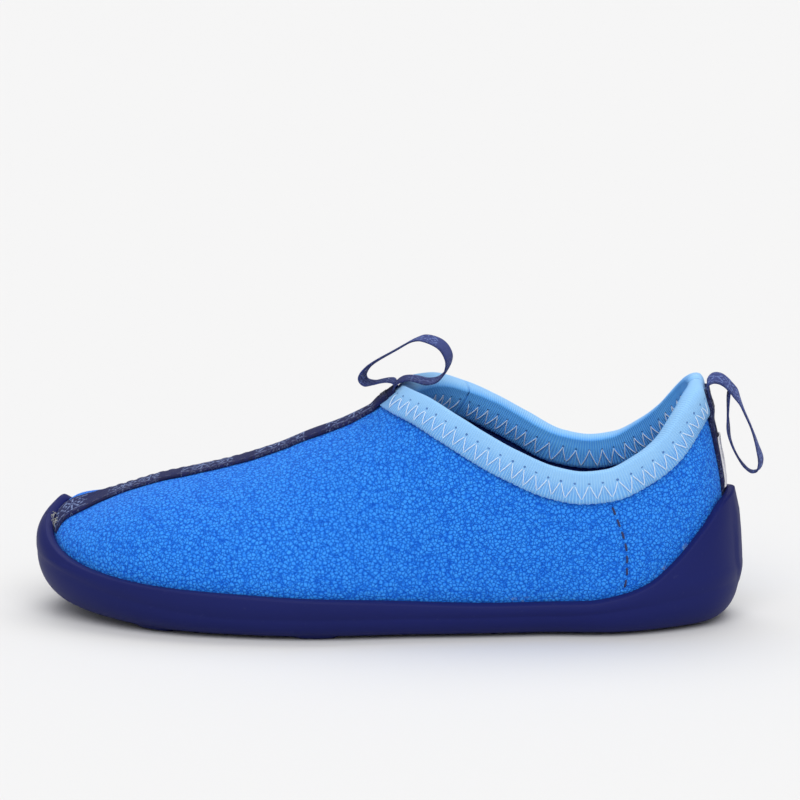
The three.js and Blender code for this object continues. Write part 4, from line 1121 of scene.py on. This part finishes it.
for side, where in ((OUTER, "outer"), (INNER, "inner")):
    tape_stitches(f"instep_stitches_{where}", instep, side, 2.6, INSTEP_END - 3, f"instep_stitch_{where}")
    tape_stitches(f"heel_stitches_{where}", heel, side, 6.7, HEEL_END - 0.8, f"heel_stitch_{where}")
    z = np.arange(POCKET_LOW + 0.6, POCKET_HIGH - 0.6, POCKET_PITCH)[:, None] + POCKET_DASH * dash_t
    u, v = place_at(pocket_x(z), z, side)
    rise = -POCKET_SUNK + POCKET_ARCH * dash_arch - POCKET_DIVE * dash_end
    paths = on_skin(u, v, side, rise + 0 * z)
    dashes = threads(f"pocket_stitches_{where}", paths, skin_normal(u, v, side), POCKET_RADIUS)
    wear(dashes, navy_thread, "shoe", "thread_navy", f"pocket_stitch_{where}")


TACK_ROWS = 9
TACK_LENGTH = 1.3
TACK_HALF = 3.4
TACK_RADIUS = 0.13


def bar_tack(name, seam, start, node):
    """Close rows of thread straight across the tape."""
    d = start + 0.05 + np.linspace(0, TACK_LENGTH, TACK_ROWS) + 0.1 * np.sin(np.arange(TACK_ROWS) * 2.4)
    d, y = (a.copy() for a in np.broadcast_arrays(d[:, None], np.linspace(-TACK_HALF, TACK_HALF, 13)[None, :]))
    arch = np.sin(np.pi * (y / TACK_HALF + 1) / 2)
    rise = -TACK_SUNK + TACK_ARCH * arch - TACK_DIVE * (np.abs(y) > TACK_HALF - 0.01)
    return wear(threads(name, *on_tape(seam, d, y, rise), TACK_RADIUS), navy_thread, "shoe", "thread_navy", node)


bar_tack("front_bar_tack_stitches", instep, INSTEP_END - 1.8, "front_bar_tack")
bar_tack("heel_bar_tack_stitches", heel, 4.6, "heel_bar_tack")

# ---------------------------------------------------------------- heel label
# A blank satin label on the heel tape between its rows of stitching, with its lower end under the rubber.
LABEL_TOP = 12.5
LABEL_LENGTH = 12
LABEL_HALF = 3.05
LABEL = 0.3
LABEL_OFF = 0.05
CURL, CURL_REACH = 0.12, 0.9
d = np.linspace(LABEL_TOP, min(LABEL_TOP + LABEL_LENGTH, HEEL_END - 0.4), 50)[:, None]
t = np.linspace(-1, 1, 11)[None, :]
curl = CURL * np.exp(-((d - LABEL_TOP) / CURL_REACH) ** 2)
pressed, thick = squeezed_at_heel(d)
label_low = hugging(heel, d + 0 * t, t * LABEL_HALF + 0 * d) * pressed + thick + LABEL_OFF + curl
label_high = label_low + LABEL - 0.12 * np.abs(t) ** 6 + 0.04 * np.sin(d * 1.1 + t)
label_faces = [heel.beside(d, t * LABEL_HALF, height) for height in (label_high, label_low)]
satin = Finish("label_satin", Roughness=0.45, Sheen_Weight=0.1)
filling = satin.waves(900.0, 0.6, detail=2.0)
satin_mix = filling * 0.6 + satin.noise(700.0) * 0.4
satin.set(Base_Color=satin_mix.blend(srgb(222, 222, 228), srgb(246, 246, 250)))
satin.bump(filling, 0.00004)
wear(piece("heel_label_satin", shell(*label_faces)), satin, "shoe", "label_white", "heel_label")

# ---------------------------------------------------------------- pull loops
# A length of the same webbing, a little narrower, at each end of the collar. Both its ends are sewn under the
# tape, and the loop bends freely beyond.
LOOP_WIDTH = 8
LOOP_THICKNESS = 0.42
LOOP_COLUMNS = 9
POINTS_PER_SPAN = 12


def smooth_path(points):
    """A centripetal curve through points, each a row of numbers."""
    p = np.array(points, float)
    p = np.concatenate([2 * p[:1] - p[1:2], p, 2 * p[-1:] - p[-2:-1]])
    gaps = np.sqrt(np.linalg.norm(np.diff(p[:, :2], axis=0), axis=1))[:, None]
    steps = np.diff(p, axis=0) / gaps
    slopes = steps[:-1] + steps[1:] - (p[2:] - p[:-2]) / (gaps[:-1] + gaps[1:])
    found = []
    for start, end, gap, leaving, coming in zip(p[1:], p[2:], gaps[1:], slopes, slopes[1:]):
        for t in np.linspace(0, 1, POINTS_PER_SPAN, endpoint=False):
            found.append(
                start * (1 + 2 * t) * (1 - t) ** 2 + end * t * t * (3 - 2 * t)
                + gap * (leaving * t * (1 - t) ** 2 - coming * t * t * (1 - t)))
    return np.array([*found, p[-2]])


def ribbon(name, points, origin, phase):
    """Webbing bent in the plane of the seams. Each point is forward or back, up, and the twist in degrees."""
    path = smooth_path(points)
    centre = np.stack([path[:, 0] + origin[0], np.zeros(len(path)), path[:, 1] + origin[2]], -1)
    tangent = unit(np.gradient(centre, axis=0))
    face = np.stack([-tangent[:, 2], np.zeros(len(path)), tangent[:, 0]], -1)
    turn = np.radians(path[:, 2])[:, None]
    wide = np.array([0, 1, 0]) * np.cos(turn) + face * np.sin(turn)
    normal = np.cross(tangent, wide)
    at = np.concatenate([[0], np.cumsum(np.linalg.norm(np.diff(centre, axis=0), axis=1))])[:, None]
    t = np.linspace(-1, 1, LOOP_COLUMNS)[None, :]
    half = LOOP_THICKNESS / 2 * thinned(t, 0.8, 0.55)
    cup = 0.12 * (1 - t**2) * np.sin(at / 5)
    width = LOOP_WIDTH / 2 + 0.07 * np.sin(at / 1.7) + 0 * t
    base = centre[:, None] + wide[:, None] * (t * width)[..., None]
    upper = base + normal[:, None] * (half + cup)[..., None]
    lower = base - normal[:, None] * (half - cup)[..., None]
    return strip(name, upper, lower, at + phase, t * width, LOOP_WIDTH / 2)


loop_cloth = woven("woven_loop", srgb(40, 50, 112), srgb(68, 82, 146), srgb(120, 142, 206))
# The loops' hinges, where the webbing leaves its sewn root.
FRONT_HINGE = np.array([0.917, 0, 54.975])
HEEL_HINGE = np.array([77.963, 0, 53.491])
FRONT_LOOP = [
    (0.2, -3.2, 0), (0.55, -2.4, 0), (0.2, -1.6, 1), (-1.2, -1.4, 3), (-2.6, -1.6, 4), (-4.4, -2.0, 3),
    (-6.2, -1.9, -4), (-6.95, -0.6, -10), (-5.7, 1.5, -9), (0.6, 5.6, -8), (4.9, 8.0, -5), (7.4, 8.3, 2),
    (11.1, 6.7, 7), (12.7, 3.8, 8), (12.3, 1.6, 5), (11.4, 0.1, 2), (9.9, -1.2, 0), (7.8, -1.6, -1),
    (5.3, -1.05, 0), (3.4, -0.85, 1), (2.1, -1.15, 0), (1.0, -1.9, 0), (0.3, -2.9, 0),
]
front_loop = ribbon("front_loop_webbing", FRONT_LOOP, FRONT_HINGE, 0.0)
wear(front_loop, loop_cloth, "front_loop", "webbing_navy", "front_pull_loop")

# The front root goes on from the tape's end and stops short of the hinge.
ROOT_SHORT = 1.5
root_d = np.linspace(INSTEP_END, instep.length - ROOT_SHORT, 14)[:, None]
t = np.linspace(-1, 1, LOOP_COLUMNS)[None, :]
root_y = t * LOOP_WIDTH / 2 + 0 * root_d
root_low = hugging(instep, root_d + 0 * t, root_y)
root_faces = [instep.beside(root_d, root_y, root_low + rise) for rise in (TAPE * thinned(t, 0.8, 0.5), 0)]
front_root = strip("front_root_webbing", *root_faces, root_d - instep.length, root_y, LOOP_WIDTH / 2)
wear(front_root, tape_cloth, "shoe", "webbing_navy", "front_loop_root")

HEEL_LOOP = [
    (-0.6, -0.45, 6), (0.6, -2.0, 6), (1.5, -3.8, 0), (2.5, -6.2, -3), (4.1, -9.8, -3), (5.6, -14.2, 2),
    (6.4, -17.7, 8), (5.8, -19.6, 8), (4.3, -19.9, 7), (2.5, -18.5, 5), (0.9, -16.1, 5), (-0.4, -13, 2),
    (-1, -9.8, -3), (-1.1, -5.9, 2), (-1, -2.4, 4), (-0.7, -0.9, 2),
]
heel_loop = ribbon("heel_loop_webbing", HEEL_LOOP, HEEL_HINGE, 6.0)
wear(heel_loop, loop_cloth, "heel_loop", "webbing_navy", "heel_pull_loop")
HEEL_TOP = np.array([73.663, 0, 54.891])
HEEL_ROOT = [
    (-1.0, -3.8, 0), (-1.35, -2.0, 0), (-1.3, -0.75, 3), (-0.2, 0.1, 7), (1.3, 0.0, 8), (2.8, -0.95, 7),
    (4.2, -2.5, 6),
]
heel_root = ribbon("heel_root_webbing", HEEL_ROOT, HEEL_TOP, 1.0)
wear(heel_root, loop_cloth, "shoe", "webbing_navy", "heel_loop_root")

# ---------------------------------------------------------------- cup sole
# One moulding of soft rubber: a cup with a rounded lip that rises over the toe and high round the heel, turned
# under at the ground, with low round pads on its tread.
RUBBER_BASE = 3.2
LIP = 0.35
TREAD = 0.5
PAD_RADIUS = 5
PAD_SLOPE = 0.7
BUMPER = 0.7
BUMPER_REACH = 0.13
SOLE_STATIONS = 190
SOLE_COLUMNS = 72
# The tread pads, as shares of the length and of the way out to the edge, the outer side below zero.
PADS = [
    (0.5, 0), (0.1, 0.05), (0.175, -0.75), (0.19, -0.1), (0.2, 0.62), (0.29, -0.42), (0.31, 0.28), (0.33, 0.86),
    (0.405, -0.84), (0.42, -0.1), (0.43, 0.55), (0.7, -0.35), (0.72, 0.45), (0.8, 0.05), (0.87, -0.45), (0.88, 0.5),
]
turn_height = through([(0, 12), (0.12, 8.5), (0.3, 6), (0.75, 6), (0.9, 8), (1, 10)])
turn_depth = through([(0, 9.5), (0.15, 7), (0.35, 5), (0.8, 5), (1, 6.5)])
pad_places = []
for s, part in PADS:
    x, y = outline(np.arccos(1 - 2 * s) / np.pi, OUTER if part < 0 else INNER)
    pad_places.append((float(x), abs(part) * float(y)))


def pad_depth(p):
    """How much of a pad covers each point: 1 on its flat, 0 outside."""
    cover = np.zeros(p.shape[:-1])
    for x, y in pad_places:
        away = np.hypot(p[..., 0] - x, p[..., 1] - y)
        cover = np.maximum(cover, np.clip((PAD_RADIUS + PAD_SLOPE / 2 - away) / PAD_SLOPE, 0, 1))
    return cover * cover * (3 - 2 * cover)


def inner_wall(part):
    return lambda u, side: on_skin(u, mix(-1, v_rim(u, side), part), side, CUP_GAP)


def lip(angle):
    def ring_at(u, side):
        p = on_skin(u, v_rim(u, side), side, CUP_GAP + RUBBER_WALL / 2 * (1 - math.cos(angle)))
        p[:, 2] += LIP * math.sin(angle) - LIP * angle / math.pi
        return p

    return ring_at


def wall_turn(u, side, x):
    top = v_rim(u, side)
    turned = turn_height(share(x)) + lift(x)
    return top, np.minimum(v_at(u, side, lambda at: turned), top)


def bumper(u):
    """The wall is thicker round the toe."""
    return BUMPER * np.exp(-((u / BUMPER_REACH) ** 2))


def outer_wall(part):
    def ring_at(u, side):
        x = outline(u, side)[0]
        top, turn = wall_turn(u, side, x)
        bulge = WALL_BULGE * (0.5 * math.sin(math.pi * min(1, part * 1.25) / 2) + 0.5 * math.sin(math.pi * part))
        thicker = bumper(u) * math.sin(min(1, part * 2) * math.pi / 2)
        p = on_skin(u, mix(top, turn, part), side, CUP_GAP + RUBBER_WALL + bulge + thicker)
        p[:, 2] -= LIP * (1 - part) ** 3
        return p

    return ring_at


def turn_under(angle):
    def ring_at(u, side):
        x = outline(u, side)[0]
        turn = wall_turn(u, side, x)[1]
        start = on_skin(u, turn, side, CUP_GAP + RUBBER_WALL + WALL_BULGE / 2 + bumper(u))
        nx, ny = outline_normal(u, side)
        inwards = turn_depth(share(x)) * (1 - math.cos(angle))
        drop = (start[:, 2] - TREAD - lift(x)) * math.sin(angle)
        return np.stack([start[:, 0] - nx * inwards, start[:, 1] - ny * inwards, start[:, 2] - drop], -1)

    return ring_at


levels = [inner_wall(part) for part in np.linspace(0, 1, 12)]
levels += [lip(angle) for angle in np.linspace(0, np.pi, 9)[1:]]
levels += [outer_wall(part) for part in np.linspace(0, 1, 15)[1:]]
levels += [turn_under(angle) for angle in np.linspace(0, np.pi / 2, 17)[1:]]
wall = np.stack([around(ring_at, SOLE_STATIONS) for ring_at in levels])


def floor_ring(u, side):
    p = on_skin(u, -1, side, CUP_GAP)
    return np.stack([p[:, 0], p[:, 1], RUBBER_BASE + lift(outline(u, side)[0])], -1)


wall = np.concatenate([around(floor_ring, SOLE_STATIONS)[None], wall])
# A raised oval pad stands on the back of the heel.
OVAL_HEIGHT = 18.5
OVAL_HALF_WIDTH, OVAL_HALF_HEIGHT = 6.5, 10
OVAL_RELIEF = 0.45
back = (wall[..., 0] > 68) & (np.arange(len(wall)) > 20)[:, None]
oval = np.hypot(wall[..., 1] / OVAL_HALF_WIDTH, (wall[..., 2] - OVAL_HEIGHT) / OVAL_HALF_HEIGHT)
wall[..., 0] += np.where(back, OVAL_RELIEF * np.clip((1.08 - oval) / 0.16, 0, 1), 0)
tread = across(turn_under(math.pi / 2), SOLE_STATIONS, SOLE_COLUMNS)
for grid in (wall[-5:], tread):
    grid[..., 2] -= TREAD * pad_depth(grid)
    grid[..., 2] = np.maximum(grid[..., 2], 0)
sole = piece("cup_sole", [wall, tread, across(floor_ring, SOLE_STATIONS, SOLE_COLUMNS)])
rubber = Finish("moulded_rubber", Roughness=0.5, Specular_IOR_Level=0.09)
bloom = rubber.noise(24.0, 3.0)
dust = rubber.noise(700.0, 3.0, 0.65).ramp(0.62, 0.75)
matt = rubber.noise(2600.0, 2.0)
rubber.set(
    Base_Color=(dust * 0.05).blend(bloom.blend(srgb(25, 31, 87), srgb(31, 37, 101)), srgb(110, 114, 150)),
    Roughness=0.44 + bloom * 0.12 + dust * 0.1,
)
rubber.bump(matt * 0.7 + bloom * 0.3, 0.00003)
wear(sole, rubber, "shoe", "rubber_navy", "outsole")

# ---------------------------------------------------------------- frayed end
# The cut end of the instep tape frays where the rubber rim grips it: a few pale warp ends stand out.
FRAYED_YARNS = 14
YARN_RADIUS = 0.07
generator = np.random.default_rng(11)
fray = []
for _ in range(FRAYED_YARNS):
    d = generator.uniform(-0.5, 0.5)
    y = generator.uniform(-4.6, 3.8)
    length = generator.uniform(0.7, 1.5)
    turn = generator.uniform(-1.2, 1.2)
    t = np.linspace(0, 1, 6)
    fray.append(np.stack([
        d + length * t * math.cos(turn), y + length * t * math.sin(turn) + 0.25 * np.sin(3 * t + turn),
        1.0 + 0.35 * np.sin(np.pi * t) + 0.2 * t]))
fray = np.array(fray)
fray_paths = instep.beside(fray[:, 0], fray[:, 1], fray[:, 2])
fray_up = unit(instep.beside(fray[:, 0], fray[:, 1], fray[:, 2] + 1) - fray_paths)
pale_yarn = Finish("pale_yarn", Roughness=0.8)
pale_yarn.set(Base_Color=pale_yarn.noise(900.0).blend(srgb(140, 144, 150), srgb(206, 204, 192)))
wear(threads("frayed_ends", fray_paths, fray_up, YARN_RADIUS, sides=5), pale_yarn, "shoe", "thread_white")
